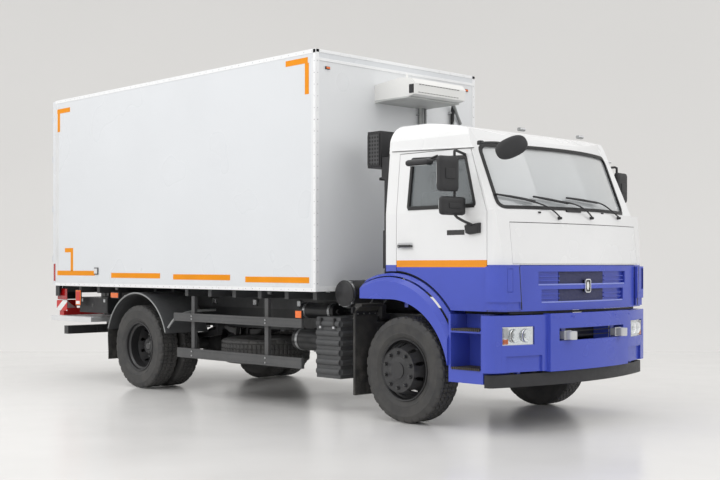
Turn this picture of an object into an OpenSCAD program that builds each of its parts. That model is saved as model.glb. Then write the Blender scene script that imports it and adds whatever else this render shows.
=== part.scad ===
// Refrigerated truck: two-axle forward-control cab truck with an insulated box body.
// Millimetres, +Z up. The front faces -Y and the vehicle's left side is +X.

/* [Overall] */
// which piece to draw
// foremost point of the bumper, from the front axle
front_y = -1466; // [-1500:1:-1200]
// rearmost point, from the front axle
rear_y = 6588; // [6300:1:6800]
// distance between the axles
wheelbase = 4450; // [4000:10:4800]

/* [Wheels] */
// tyre outer radius
tyre_r = 510; // [480:1:540]
// tyre section width
tyre_w = 275; // [250:1:300]
// rim flange radius
flange_r = 298; // [280:1:310]
// front wheel centre from the middle
front_wx = 1030; // [980:1:1060]
// rear inner wheel centre from the middle
rear_ix = 768; // [740:1:800]
// rear outer wheel centre from the middle
rear_ox = 1088; // [1060:1:1110]
// kingpin centre from the middle
kingpin_x = 880; // [850:1:900]
// stud circle diameter
stud_pcd = 335; // [275:1:335]

/* [Frame] */
// outer face of a frame rail
rail_x = 435; // [400:1:450]
// underside of the rails
rail_z0 = 760; // [700:1:800]
// top of the rails
rail_z1 = 1000; // [960:1:1040]
// rail plate thickness
rail_t = 8; // [6:0.5:10]

/* [Box body] */
// half width
box_x = 1250; // [1200:1:1300]
// front face
box_y0 = 1140; // [1000:1:1300]
// rear face of the closed doors
box_y1 = 6460; // [6200:1:6600]
// underside of the floor
box_z0 = 1238; // [1150:1:1300]
// top of the roof
box_z1 = 3722; // [3500:1:3900]
// wall thickness
wall = 70; // [50:1:100]
// floor and roof thickness
slab = 90; // [60:1:120]
// rear door thickness
rdoor = 75; // [60:1:90]

/* [Cab] */
// half width
cab_x = 1150; // [1100:1:1200]
// rear face
cab_y1 = 240; // [200:1:320]
// underside of the doors
cab_z0 = 1095; // [1080:1:1120]
// panel thickness of the cab shell
cab_t = 45; // [30:1:60]
// door thickness
door_t = 62; // [50:1:80]
// front edge of the doors
door_y0 = -1026; // [-1040:1:-1000]
// rear edge of the doors
door_y1 = 90; // [60:1:120]
// top edge of the doors
door_z1 = 2575; // [2500:1:2600]
// lower edge of the roof panel
roof_z = 2590; // [2580:1:2620]
// windscreen rake
rake_a = 22.2; // [18:0.1:30]
// backward lean of the front panel
lean_a = 6; // [0:0.5:10]
// foot of the windscreen at the middle
screen_y = -1250; // [-1300:1:-1200]
// height of the shelf under the windscreen
shelf_z = 2003; // [1980:1:2020]

/* [Hidden] */
oy = -(front_y + rear_y) / 2;
$fn = 96;

// ---------- helpers ----------
module bx(x0, x1, y0, y1, z0, z1) translate([x0, y0, z0]) cube([x1 - x0, y1 - y0, z1 - z0]);
module cx(x0, x1, y, z, r) translate([x0, y, z]) rotate([0, 90, 0]) cylinder(r = r, h = x1 - x0);
module cyl_y(x, y0, y1, z, r) translate([x, y1, z]) rotate([90, 0, 0]) cylinder(r = r, h = y1 - y0);
module cz(x, y, z0, z1, r) translate([x, y, z0]) cylinder(r = r, h = z1 - z0);
module both() { children(); mirror([1, 0, 0]) children(); }
module left_or_right(s) { if (s > 0) children(); else mirror([1, 0, 0]) children(); }
// a profile drawn as (y, z) and run from x0 to x1
module side_run(x0, x1) translate([x0, 0, 0]) rotate([90, 0, 90]) linear_extrude(x1 - x0) children();
// a profile drawn as (x, z) and run from y0 to y1
module front_run(y0, y1) translate([0, y1, 0]) rotate([90, 0, 0]) linear_extrude(y1 - y0) children();
// a round rod between two points
module rod(a, b, r) {
  v = b - a; l = norm(v);
  translate(a) rotate([0, acos(v[2] / l), atan2(v[1], v[0])]) cylinder(r = r, h = l, $fn = 32);
}
module at() translate([0, oy, 0]) children();

// ---------- frame ----------
module rail() {
  y0 = -1120; y1 = 6240;
  front_run(y0, y1) difference() {
    translate([rail_x - 80, rail_z0]) square([80, rail_z1 - rail_z0]);
    translate([rail_x - 81, rail_z0 + rail_t]) square([81 - rail_t, rail_z1 - rail_z0 - 2 * rail_t]);
  }
}
module frame_rails() color("#2b2c2e") at() both() rail();
module frame_crossmembers() color("#2b2c2e") at() {
  for (y = [-1090, 1080, 1780, 2480, 3180, 3840, 4980, 5600, 6180])
    bx(-rail_x + rail_t, rail_x - rail_t, y - 30, y + 30, 822, 952);
}
module body_subframe() color("#3a3c3f") at() {
  for (s = [-1, 1]) bx(s > 0 ? 365 : -435, s > 0 ? 435 : -365, 1200, 6340, rail_z1, 1150);
  for (y = [1230, 1680, 2130, 2580, 3030, 3480, 5420, 5870, 6300]) bx(-1180, 1180, y - 30, y + 30, 1150, box_z0);
  for (y = [3900, 4250, 4650, 5050]) bx(-560, 560, y - 30, y + 30, 1150, box_z0);
}
module engine_block() color("#4a4c4e") at() {
  bx(-330, 330, -900, 230, 700, 1175);
}
module gearbox() color("#55575a") at() {
  bx(-230, 230, 230, 520, 640, 1060);
  bx(-170, 170, 520, 930, 680, 980);
}
module propshaft() color("#3c3e41") at() {
  rod([0, 940, 765], [0, wheelbase - 312, 562], 48);
}

// ---------- axles ----------
module front_axle() color("#2c2d2f") at() difference() {
  union() {
    front_run(-45, 45) polygon([[-850, 452], [-800, 446], [-600, 395], [600, 395], [800, 446], [850, 452], [850, 545],
      [790, 550], [580, 470], [-580, 470], [-790, 550], [-850, 545]]);
    for (s = [-1, 1]) cz(s * kingpin_x, 0, 447, 573, 58);
  }
  for (s = [-1, 1]) cz(s * kingpin_x, 0, 430, 590, 24);
}
module knuckle() {
  cz(kingpin_x, 0, 415, 605, 22.5);
  cz(kingpin_x, 0, 580, 606, 50);
  cz(kingpin_x, 0, 414, 440, 50);
  bx(kingpin_x, 966, -45, 45, 580, 606);
  bx(kingpin_x, 966, -45, 45, 414, 440);
  cx(946, 966, 0, tyre_r, 120);
  cx(966, 1120, 0, tyre_r, 38);
  // steering arm
  bx(kingpin_x - 40, 966, 45, 70, 414, 434);
  bx(kingpin_x - 65, kingpin_x - 40, 0, 210, 408, 434);
  bx(kingpin_x - 65, kingpin_x + 10, 20, 70, 408, 434);
}
module steering_knuckle_left() color("#2c2d2f") at() knuckle();
module steering_knuckle_right() color("#2c2d2f") at() mirror([1, 0, 0]) knuckle();
module rear_axle() color("#2c2d2f") at() {
  cx(-655, 655, wheelbase, tyre_r, 75);
  difference() {
    translate([0, wheelbase, tyre_r]) sphere(r = 205);
    cx(-210, 210, wheelbase, tyre_r, 74.9);
  }
  cyl_y(0, wheelbase - 300, wheelbase - 190, 552, 85);
}
module spring(x, y0, y1, zc, hs) {
  // stack of curved leaves drawn as an arc
  l = (y1 - y0) / 2; yc = (y0 + y1) / 2; R = (l * l + 70 * 70) / (2 * 70);
  translate([x - 35, 0, 0]) side_run(0, 70) intersection() {
    difference() {
      translate([yc, zc + R]) circle(r = R + hs, $fn = 200);
      translate([yc, zc + R]) circle(r = R, $fn = 200);
    }
    translate([y0, zc - hs - 10]) square([y1 - y0, 110 + hs]);
  }
}
module front_springs() color("#2c2d2f") at() for (s = [-1, 1]) {
  spring(s * 400, -700, 700, 540, 45);
  bx(s * 400 - 35, s * 400 + 35, -60, 60, 470, 496);
  for (y = [-690, 650]) bx(s * 400 - 35, s * 400 + 35, y, y + 40, 608, rail_z0);
}
module rear_springs() color("#2c2d2f") at() for (s = [-1, 1]) {
  spring(s * 500, wheelbase - 720, wheelbase + 720, 660, 70);
  bx(s * 500 - 35, s * 500 + 35, wheelbase - 70, wheelbase + 70, 585.5, 595);
  for (y = [wheelbase - 715, wheelbase + 675]) bx(s > 0 ? rail_x : -535, s > 0 ? 535 : -rail_x, y, y + 40, 728, 860);
}

// ---------- wheels ----------
// rim section in (radius, axial); +axial is the side the disc stands towards
module rim_section() {
  polygon([[286, -115], [298, -115], [298, -108], [287, -106], [284, -78], [262, -62], [262, 62], [284, 78], [287, 106],
    [298, 108], [298, 115], [286, 115], [279, 104], [276, 76], [254, 60], [254, -60], [276, -76], [279, -104]]);
}
module disc_section(face) {
  // cone from the barrel to the plate, and the plate itself
  d = face > 0 ? 1 : -1;
  polygon([[258, d * 46], [258, d * 60], [212, face], [0, face], [0, face - d * 12], [204, face - d * 12], [248, d * 44]]);
}
module hand_holes(x0, x1) for (a = [0:36:324]) rotate([a, 0, 0]) translate([x0, 0, 231]) rotate([0, 90, 0]) cylinder(r = 20, h = x1 - x0, $fn = 32);
module front_wheel() translate([front_wx, 0, tyre_r]) difference() {
  rotate([0, 90, 0]) rotate_extrude($fn = 160) {
    rim_section();
    disc_section(192);
    polygon([[40, 24], [40, 110], [0, 110], [0, 186], [105, 186], [105, 34], [200, 34], [200, -38], [168, -38], [168, 24]]);
    square([80, 206]);
  }
  cx(-60, 112, 0, 0, 40);
  hand_holes(38, 300);
}
module front_wheel_left() color("#17181a") at() front_wheel();
module front_wheel_right() color("#17181a") at() mirror([1, 0, 0]) front_wheel();
module tyre_section() {
  intersection() {
    union() {
      polygon([[287, -100], [330, -128], [395, -137.5], [440, -134], [492, -116], [506, -95], [510, -60], [510, 60], [506, 95], [492, 116],
        [440, 134], [395, 137.5], [330, 128], [287, 100], [300, 80], [470, 90], [480, 60], [480, -60], [470, -90], [300, -80]]);
    }
    translate([280, -140]) square([240, 280]);
  }
}
module tyre(x) translate([x, 0, tyre_r]) rotate([0, 90, 0]) rotate_extrude($fn = 160) tyre_section();
module front_tyre_left() color("#232324") at() tyre(front_wx);
module front_tyre_right() color("#232324") at() mirror([1, 0, 0]) tyre(front_wx);
module rear_wheels() translate([0, wheelbase, tyre_r]) difference() {
  rotate([0, 90, 0]) rotate_extrude($fn = 160) {
    translate([0, rear_ix]) rim_section();
    translate([0, rear_ox]) rim_section();
    translate([0, rear_ix]) disc_section(160);
    translate([0, rear_ox]) disc_section(-148);
    translate([0, 920]) square([195, 28]);
    polygon([[0, 890], [0, 1062], [88, 1062], [88, 1030], [112, 1030], [112, 922], [205, 922], [205, 690], [175, 690], [175, 890]]);
  }
  hand_holes(rear_ix + 38, rear_ix + 250);
}
module rear_wheels_left() color("#17181a") at() rear_wheels();
module rear_wheels_right() color("#17181a") at() mirror([1, 0, 0]) rear_wheels();
module rear_tyres_left() color("#232324") at() translate([0, wheelbase, 0]) { tyre(rear_ix); tyre(rear_ox); }
module rear_tyres_right() color("#232324") at() mirror([1, 0, 0]) translate([0, wheelbase, 0]) { tyre(rear_ix); tyre(rear_ox); }

// ---------- cab ----------
module cab_plan(o) intersection() {
  translate([0, 3895]) circle(r = 5200 - o, $fn = 480);
  union() {
    translate([-1030, -1500]) square([2060, 1500 + cab_y1 - o]);
    translate([-cab_x + o, -1082]) square([2 * cab_x - 2 * o, 1082 + cab_y1 - o]);
    for (s = [-1, 1]) translate([s * 1030, -1082]) circle(r = 120 - o);
  }
}
module cab_front_section(o) intersection() {
  polygon([[-cab_x + o, 900], [cab_x - o, 900], [cab_x - o, 2000], [1064 - o, 2900], [-1064 + o, 2900], [-cab_x + o, 2000]]);
  union() {
    translate([-1200, 900]) square([2400, 1740]);
    translate([-850, 2600]) square([1700, 282 - o]);
    for (s = [-1, 1]) translate([s * 850, 2640]) circle(r = 242 - o);
  }
}
module cab_side_section(o)
  polygon([[-1450, 900], [400, 900], [400, 2890 - o], [-100, 2875 - o], [-560, 2810 - o], [-780, 2752 - o], [-930, 2690 - o], [-1450, 2440 - o]]);
// leaning front panel below the shelf
module lean_wall(o) translate([0, -1305, 1515]) rotate([-lean_a, 0, 0]) translate([0, 5200, -800]) cylinder(r = 5200 - o, h = 2400, $fn = 480);
// raked windscreen wall, flat beside the glass
module rake_tool(r) translate([0, screen_y, 2000]) rotate([-rake_a, 0, 0]) translate([0, 2800, -1400]) cylinder(r = r, h = 3200, $fn = 240);
module rake_wall(o) {
  rake_tool(2800 - o);
  translate([0, screen_y, 2000]) rotate([-rake_a, 0, 0]) translate([-1300, 187 + o, -1400]) cube([2600, 2500, 3200]);
}
module cab_solid(o) intersection() {
  translate([0, 0, 1000]) linear_extrude(2000) cab_plan(o);
  front_run(-1500, 400) cab_front_section(o);
  side_run(-1300, 1300) cab_side_section(o);
  union() {
    intersection() { lean_wall(o); bx(-1400, 1400, -1600, 600, 850, shelf_z - o); }
    intersection() { rake_wall(o); bx(-1400, 1400, -1600, 600, shelf_z - 2 - o, 3100); }
  }
}
module arch_cut(r, x0, x1) { cx(x0, x1, 150, 500, r); }
module door_profile(g) polygon([[door_y0 - g, cab_z0 - g], [door_y0 - g, 1985], [-790 - g, door_z1 + g], [door_y1 + g, door_z1 + g], [door_y1 + g, cab_z0 - g]]);
module window_profile(g) polygon([[-892 + g, 2046 + g], [-742 + g, 2506 - g], [-66 - g, 2524 - g], [-52 - g, 2046 + g]]);
module screen_cut(g) front_run(-1500, -500) {
  translate([-1006 + g, 2115]) square([2012 - 2 * g, 418]);
  translate([-921, 2030 + g]) square([1842, 588 - 2 * g]);
  for (x = [-921, 921]) for (z = [2115, 2533]) translate([x, z]) circle(r = 85 - g);
}
module cab_floor_block() {
  front_run(-1120, 215) polygon([[-1125, 1250], [-400, 1250], [-400, 1440], [400, 1440], [400, 1250], [1125, 1250], [1125, 1290],
    [440, 1290], [440, 1480], [-440, 1480], [-440, 1290], [-1125, 1290]]);
  for (s = [-1, 1]) bx(s > 0 ? 860 : -1120, s > 0 ? 1120 : -860, -700, 212, 1260, 1500);
  // bulkhead behind the lid
  bx(-1115, 1115, -1120, -1090, 1255, 1545);
}
module cab_shell() color("#ececec") at() difference() {
  union() {
    difference() { cab_solid(0); cab_solid(cab_t); }
    intersection() { cab_solid(20); cab_floor_block(); }
  }
  bx(-1300, 1300, -1500, 500, roof_z, 3000);
  bx(-1300, 1300, -1500, 500, 900, cab_z0);
  // door openings
  for (s = [-1, 1]) side_run(s > 0 ? 1044 : -1300, s > 0 ? 1300 : -1044) door_profile(6);
  for (s = [-1, 1]) arch_cut(952, s > 0 ? 880 : -1300, s > 0 ? 1300 : -880);
  screen_cut(0);
  // front panel and lid openings
  bx(-1006, 1006, -1500, -1100, 1520, 1896);
  bx(-926, 926, -1500, -1150, cab_z0 - 10, 1514);
  // the rear wall stops at the floor
  bx(-870, 870, 150, 500, 900, 1240);
}
module cab_roof() color("#ececec") at() difference() {
  cab_solid(0);
  cab_solid(cab_t);
  bx(-1300, 1300, -1500, 500, 900, roof_z);
  screen_cut(0);
}
module windscreen() color([0.3, 0.4, 0.45, 0.35]) at() intersection() {
  difference() { rake_tool(2788); rake_tool(2782); }
  screen_cut(4);
  bx(-1300, 1300, -1500, -600, 1900, 2700);
}
module front_panel() color("#ececec") at() intersection() {
  difference() { cab_solid(0); cab_solid(30); }
  bx(-1003, 1003, -1500, -1000, 1523, 1893);
}
// air vanes round the lower front corners
module corner_deflectors() color("#4655c8") at() for (s = [-1, 1]) difference() {
  intersection() {
    translate([0, 0, 1108]) linear_extrude(390) cab_plan(-34);
    bx(s > 0 ? 930 : -1200, s > 0 ? 1200 : -930, -1400, -1040, 1000, 1600);
  }
  translate([0, 0, 1000]) linear_extrude(600) cab_plan(-3);
  // air slot and the lower step
  difference() { bx(s > 0 ? 1040 : -1100, s > 0 ? 1100 : -1040, -1400, -1100, 1270, 1478); translate([0, 0, 1000]) linear_extrude(600) cab_plan(-8); }
  difference() { bx(s > 0 ? 900 : -1250, s > 0 ? 1250 : -900, -1400, -1000, 1100, 1180); translate([0, 0, 1000]) linear_extrude(600) cab_plan(-20); }
}
module lid_pocket(x, z0, z1) difference() {
  bx(-x, x, -1500, -1000, z0, z1);
  translate([0, 0, 900]) linear_extrude(800) cab_plan(32);
}
module grille_lid() color("#4655c8") at() difference() {
  intersection() {
    difference() { cab_solid(0); cab_solid(45); }
    bx(-920, 920, -1500, -1000, cab_z0, 1508);
  }
  // two wide recesses
  lid_pocket(700, 1325, 1452);
  lid_pocket(660, 1165, 1290);
}
module door(s) {
  difference() {
    intersection() {
      difference() { cab_solid(0); cab_solid(door_t); }
      side_run(s > 0 ? 1050 : -1300, s > 0 ? 1300 : -1050) door_profile(0);
    }
    side_run(s > 0 ? 900 : -1300, s > 0 ? 1300 : -900) window_profile(0);
    arch_cut(960, s > 0 ? 850 : -1300, s > 0 ? 1300 : -850);
  }
}
module door_left() color("#ececec") at() door(1);
module door_right() color("#ececec") at() door(-1);
module door_glass(s) intersection() {
  difference() { cab_solid(18); cab_solid(24); }
  side_run(s > 0 ? 900 : -1300, s > 0 ? 1300 : -900) window_profile(0);
}
module door_glass_left() color([0.3, 0.4, 0.45, 0.35]) at() door_glass(1);
module door_glass_right() color([0.3, 0.4, 0.45, 0.35]) at() door_glass(-1);
module mirror_arm(s) {
  // main mirror, wide-angle mirror and their tube, carried by the door
  rod([s * 1112, -740, 2520], [s * 1298, -775, 2540], 13);
  rod([s * 1298, -775, 2552], [s * 1298, -775, 1935], 13);
  rod([s * 1298, -775, 1948], [s * 1176, -880, 1868], 13);
  translate([s * 1164, -872, 1838]) cube([26, 178, 104], center = true);
  translate([s * 1382, -768, 2328]) rotate([0, 0, s * 8]) cube([236, 64, 318], center = true);
  translate([s * 1320, -768, 2042]) rotate([0, 0, s * 8]) cube([300, 64, 170], center = true);
}
module mirrors_left() color("#1b1c1e") at() mirror_arm(1);
module mirrors_right() color("#1b1c1e") at() {
  mirror_arm(-1);
  // kerb mirror above the window
  rod([-1112, -400, 2530], [-1300, -400, 2462], 11);
  translate([-1300, -345, 2458]) cube([100, 290, 60], center = true);
}
module seat(x, w) {
  bx(x - w / 2, x + w / 2, -500, -20, 1560, 1690);
  bx(x - w / 2, x + w / 2, -90, 30, 1690, 2230);
  bx(x - 130, x + 130, -60, 10, 2230, 2420);
  bx(x - w / 2 + 60, x + w / 2 - 60, -420, -80, x == 0 ? 1480 : 1290, 1560);
}
module seats() color("#3b3d42") at() {
  seat(640, 500); seat(0, 440); seat(-640, 500);
}
module dashboard() color("#2a2b2d") at() difference() {
  intersection() {
    cab_solid(52);
    bx(-1036, 1036, -1400, -800, 1560, 1945);
  }
  translate([0, 0, 0]) side_run(-1100, 1100) polygon([[-700, 1500], [-1010, 1500], [-1010, 1760], [-860, 1820], [-860, 1990], [-700, 1990]]);
}
module steering_wheel() color("#1b1c1e") at() translate([620, -690, 1900]) rotate([35, 0, 0]) {
  rotate_extrude($fn = 96) translate([215, 0]) circle(r = 15, $fn = 32);
  for (a = [90, 210, 330]) rotate([0, 0, a]) translate([0, -16, -10]) cube([205, 32, 14]);
  translate([0, 0, -150]) cylinder(r = 38, h = 160, $fn = 48);
}
module air_intake() color("#222326") at() {
  bx(-850, -470, 600, 790, 2500, 2870);
  bx(-840, -700, 440, 600, 2380, 2600);
  bx(-840, -700, 430, 560, 1860, 2380);
  bx(-850, -690, 420, 570, 1475, 1860);
  cz(-660, 700, 2400, 2500, 45);
  for (z = [1900, 2300]) bx(-790, -750, 240, 430, z, z + 40);
}

// ---------- front end on the frame ----------
module bumper_plan(o) intersection() {
  translate([0, -1360 + 3650]) circle(r = 3650 - o, $fn = 360);
  translate([-1300, -1500]) square([2600, 445]);
  union() {
    translate([-1130, -1500]) square([2260, 520]);
    translate([-1250 + o, -1060]) square([2500 - 2 * o, 80]);
    for (s = [-1, 1]) translate([s * 1130, -1060]) circle(r = 120 - o);
  }
}
module bumper_block(o, z0, z1) translate([0, 0, z0]) linear_extrude(z1 - z0) bumper_plan(o);
module lamp_pocket(s, g) bx(s > 0 ? 785 - g : -1120 - g, s > 0 ? 1120 + g : -785 + g, -1500, -1000, 800 - g, 958 + g);
module bumper() color("#4655c8") at() {
  difference() {
    union() {
      bumper_block(0, 555, 1062);
      // the middle stands forward
      intersection() { translate([0, -36, 0]) bumper_block(0, 548, 1072); bx(-630, 630, -1500, -1060, 500, 1100); }
    }
    bumper_block(45, 500, 1100);
    intersection() { translate([0, -36, 0]) bumper_block(45, 500, 1100); bx(-585, 585, -1500, -900, 500, 1100); }
    for (s = [-1, 1]) lamp_pocket(s, 4);
    // central opening
    bx(-520, 520, -1500, -1000, 822, 935);
    // sunk lower corners
    for (s = [-1, 1]) difference() {
      bx(s > 0 ? 690 : -1085, s > 0 ? 1085 : -690, -1500, -1000, 500, 700);
      bumper_block(22, 400, 800);
    }
  }
  // lower bar
  difference() { bumper_block(30, 420, 535); bumper_block(90, 410, 560); }
  for (s = [-1, 1]) {
    bx(s * 900 - 20, s * 900 + 20, -1190, -1150, 440, 700);
    bx(s * 395 - 30, s * 395 + 30, -1290, -1120, 780, 930);
    bx(s * 395 - 30, s * 395 + 30, -1310, -1290, 560, 960);
  }
  // towing forks
  for (s = [-1, 1]) difference() {
    union() {
      cz(s * 410, -1422, 835, 905, 44);
      bx(s * 410 - 44, s * 410 + 44, -1422, -1290, 835, 905);
    }
    cz(s * 410, -1422, 800, 930, 17);
  }
}
module headlamp(s) intersection() {
  difference() { bumper_block(14, 780, 980); bumper_block(80, 700, 1000); }
  lamp_pocket(s, 0);
}
module headlamps() color("#d8dde2") at() for (s = [-1, 1]) headlamp(s);
module fender_step() {
  difference() {
    union() {
      cx(930, 1150, 150, 500, 935);
      translate([1150, 150, 500]) rotate([0, 90, 0]) cylinder(r1 = 935, r2 = 858, h = 98);
    }
    cx(900, 1200, 150, 500, 908);
    cx(900, 1300, 80, 450, 735);
    // keep the part over and ahead of the wheel
    bx(800, 1300, 500, 1200, 0, 1600);
    bx(800, 1300, 80, 600, 0, 1185);
    bx(800, 1300, -1200, 1200, -600, 450);
    bx(800, 1300, -1300, -640, 400, 1062);
  }
  // step housing with two treads
  difference() {
    bx(850, 1225, -1045, -640, 450, 1062);
    bx(960, 1300, -1020, -665, 575, 900);
    bx(1000, 1300, -1020, -665, 925, 1100);
    bx(845, 935, -1025, -665, 480, 1040);
  }
}
module fender_steps() color("#4655c8") at() both() fender_step();
module front_flap() {
  bx(900, 1200, 610, 640, 220, 1050);
  bx(900, 1200, 520, 610, 1100, 1130);
  side_run(900, 1200) polygon([[610, 1050], [640, 1050], [535, 1130], [505, 1130]]);
  bx(440, 900, 615, 640, 880, 930);
}
module front_flaps() color("#242526") at() both() front_flap();

// ---------- box body ----------
module box_floor() color("#c9ccd0") at() bx(-box_x + wall + 0.5, box_x - wall - 0.5, box_y0 + wall + 0.5, box_y1 - rdoor - 85.5, box_z0, box_z0 + slab);
module box_walls() color("#e8eaed") at() both() bx(box_x - wall, box_x, box_y0 + wall, box_y1 - rdoor - 85, box_z0, box_z1 - slab);
module box_roof() color("#e8eaed") at() bx(-box_x, box_x, box_y0, box_y1 - rdoor - 5, box_z1 - slab, box_z1);
module box_front_wall() color("#e8eaed") at() {
  bx(-box_x, box_x, box_y0, box_y0 + wall, box_z0, box_z1 - slab);
  // evaporator housing under the roof
  side_run(-560, 560) polygon([[box_y0 + wall, 3150], [box_y0 + wall, box_z1 - slab], [box_y0 + wall + 520, box_z1 - slab], [box_y0 + wall + 520, 3560], [box_y0 + wall + 130, 3230]]);
}
module rear_frame() color("#b9bcc0") at() difference() {
  bx(-box_x, box_x, box_y1 - rdoor - 85, box_y1 - rdoor - 5, box_z0, box_z1 - slab);
  bx(-box_x + 90, box_x - 90, box_y1 - 400, box_y1, box_z0 + slab - 10, box_z1 - slab - 20);
}
module cargo_door(s) {
  x0 = s > 0 ? 4 : -box_x + 4; x1 = s > 0 ? box_x - 4 : -4;
  bx(x0, x1, box_y1 - rdoor, box_y1, box_z0 + 6, box_z1 - 6);
  // hinge straps
  for (z = [1560, 2230, 2900, 3430]) bx(s > 0 ? box_x - 180 : -box_x - 6, s > 0 ? box_x + 6 : -box_x + 180, box_y1, box_y1 + 10, z, z + 80);
  // lock bars
  for (d = [150, 850]) cz(s * d, box_y1 + 24, box_z0 + 60, box_z1 - 60, 13);
  for (d = [150, 850]) for (z = [box_z0 + 120, 2100, 2800, box_z1 - 160]) bx(s * d - 30, s * d + 30, box_y1, box_y1 + 12, z, z + 60);
}
module cargo_door_left() color("#e8eaed") at() cargo_door(1);
module cargo_door_right() color("#e8eaed") at() cargo_door(-1);
module fridge_unit() color("#e9e9e7") at() {
  side_run(-400, 400) polygon([[box_y0, 3250], [box_y0, 3440], [760, 3480], [590, 3455], [545, 3400], [560, 3290], [620, 3275]]);
  // lines down the wall
  cz(300, 1105, 2700, 3262, 28);
  cz(360, 1105, 2700, 3262, 16);
  cz(820, 1105, 2700, 3260, 20);
}

// ---------- side equipment ----------
module battery_box() color("#303234") at() {
  bx(-1100, -450, 930, 1290, 350, 975);
  bx(-450, -rail_x, 950, 1010, 800, 940);
  bx(-450, -rail_x, 1210, 1270, 800, 940);
}
module air_cleaner() color("#26272a") at() {
  cx(-1050, -520, 930, 1222, 134);
  bx(-560, -500, 870, 925, 1000, 1100);
  bx(-560, -rail_x, 870, 925, 940, 1000);
  bx(-840, -700, 500, 800, 1290, 1370);
  bx(-840, -700, 430, 560, 1370, 1465);
}
module fuel_tank() color("#a9adb2") at() {
  bx(480, 1080, 1100, 2050, 430, 960);
  for (y = [1300, 1850]) bx(rail_x, 480, y, y + 60, 800, 940);
}
module air_tanks() color("#2b2c2e") at() {
  cyl_y(-760, 1450, 1950, 700, 118);
  cyl_y(-620, 1480, 2020, 1010, 85);
  bx(-642, -rail_x, 1600, 1640, 640, 820);
  bx(-642, -rail_x, 1820, 1860, 640, 820);
  bx(-560, -rail_x, 1560, 1600, 960, 1000);
}
module side_guard(y0) {
  bx(1175, 1215, y0, 3690, 856, 950);
  bx(1175, 1215, y0, 3620, 432, 542);
  for (y = [1990, 3330]) { bx(1135, 1175, y, y + 60, 432, 1150); }
}
module side_guards() color("#c9ccd0") at() both() side_guard(1400);
module spare_wheel() color("#232324") at() {
  translate([-640, 2680, 540]) {
    rotate_extrude($fn = 160) tyre_section();
    rotate_extrude($fn = 160) { rim_section(); }
    difference() { rotate_extrude($fn = 160) disc_section(-148); for (a = [0:36:324]) rotate([0, 0, a]) translate([stud_pcd / 2, 0, -170]) cylinder(r = 13, h = 60, $fn = 24); }
  }
  bx(-700, -580, 2620, 2740, 404, 620);
  bx(-700, -580, 2640, 2720, 620, 700);
  bx(-1000, -360, 2650, 2710, 700, rail_z0);
}
module tail_lift() color("#2e3033") at() {
  // rear underrun bar and its stays
  bx(-1180, 1180, 6180, 6280, 590, 700);
  for (s = [-1, 1]) bx(s * 500 - 40, s * 500 + 40, 6200, 6260, 700, 1150);
  // folded platform
  difference() { bx(-1200, 1200, 5560, rear_y, 770, 830); bx(-445, 445, 5500, 6255, 700, 900); }
  // hydraulic box
  bx(-1120, -560, 5290, 5980, 890, 1090);
  // beam
  bx(-1180, 1180, 6290, 6400, 838, 930);
  for (s = [-1, 1]) bx(s * 500 - 40, s * 500 + 40, 6290, 6400, 930, 1150);
}
module rear_mudguards() color("#242526") at() for (s = [-1, 1]) difference() {
  cx(s > 0 ? 625 : -1245, s > 0 ? 1245 : -625, wheelbase, tyre_r, 668);
  cx(s > 0 ? 600 : -1300, s > 0 ? 1300 : -600, wheelbase, tyre_r, 645);
  bx(-1400, 1400, 3600, 5300, -300, 700);
}

frame_rails();
frame_crossmembers();
body_subframe();
engine_block();
gearbox();
propshaft();
front_axle();
rear_axle();
front_springs();
rear_springs();
steering_knuckle_left();
steering_knuckle_right();
front_wheel_left();
front_wheel_right();
front_tyre_left();
front_tyre_right();
rear_wheels_left();
rear_wheels_right();
rear_tyres_left();
rear_tyres_right();
cab_shell();
cab_roof();
windscreen();
front_panel();
corner_deflectors();
grille_lid();
door_left();
door_right();
door_glass_left();
door_glass_right();
mirrors_left();
mirrors_right();
seats();
dashboard();
steering_wheel();
air_intake();
bumper();
headlamps();
fender_steps();
front_flaps();
box_floor();
box_walls();
box_roof();
box_front_wall();
rear_frame();
cargo_door_left();
cargo_door_right();
fridge_unit();
battery_box();
air_cleaner();
fuel_tank();
air_tanks();
side_guards();
spare_wheel();
rear_mudguards();
tail_lift();
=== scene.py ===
import math, random
import bpy, bmesh
import numpy as np
from mathutils import Vector, Matrix


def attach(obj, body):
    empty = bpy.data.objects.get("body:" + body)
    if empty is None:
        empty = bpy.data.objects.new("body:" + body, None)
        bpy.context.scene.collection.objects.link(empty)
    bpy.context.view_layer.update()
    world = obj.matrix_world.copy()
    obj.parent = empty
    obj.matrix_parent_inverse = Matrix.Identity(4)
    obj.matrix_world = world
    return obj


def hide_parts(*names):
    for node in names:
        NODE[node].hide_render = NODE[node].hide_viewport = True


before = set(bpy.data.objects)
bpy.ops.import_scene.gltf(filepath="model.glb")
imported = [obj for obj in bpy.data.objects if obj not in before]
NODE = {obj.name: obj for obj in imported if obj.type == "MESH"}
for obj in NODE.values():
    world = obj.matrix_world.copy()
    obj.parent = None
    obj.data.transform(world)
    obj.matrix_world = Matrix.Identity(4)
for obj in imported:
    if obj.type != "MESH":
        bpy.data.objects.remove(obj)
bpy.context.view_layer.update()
scn = bpy.context.scene
OY = -2.561


def T(x, y, z):
    """truck millimetres (front axle at y 0) to row metres"""
    return (x / 1000.0, y / 1000.0 + OY, z / 1000.0)


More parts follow.
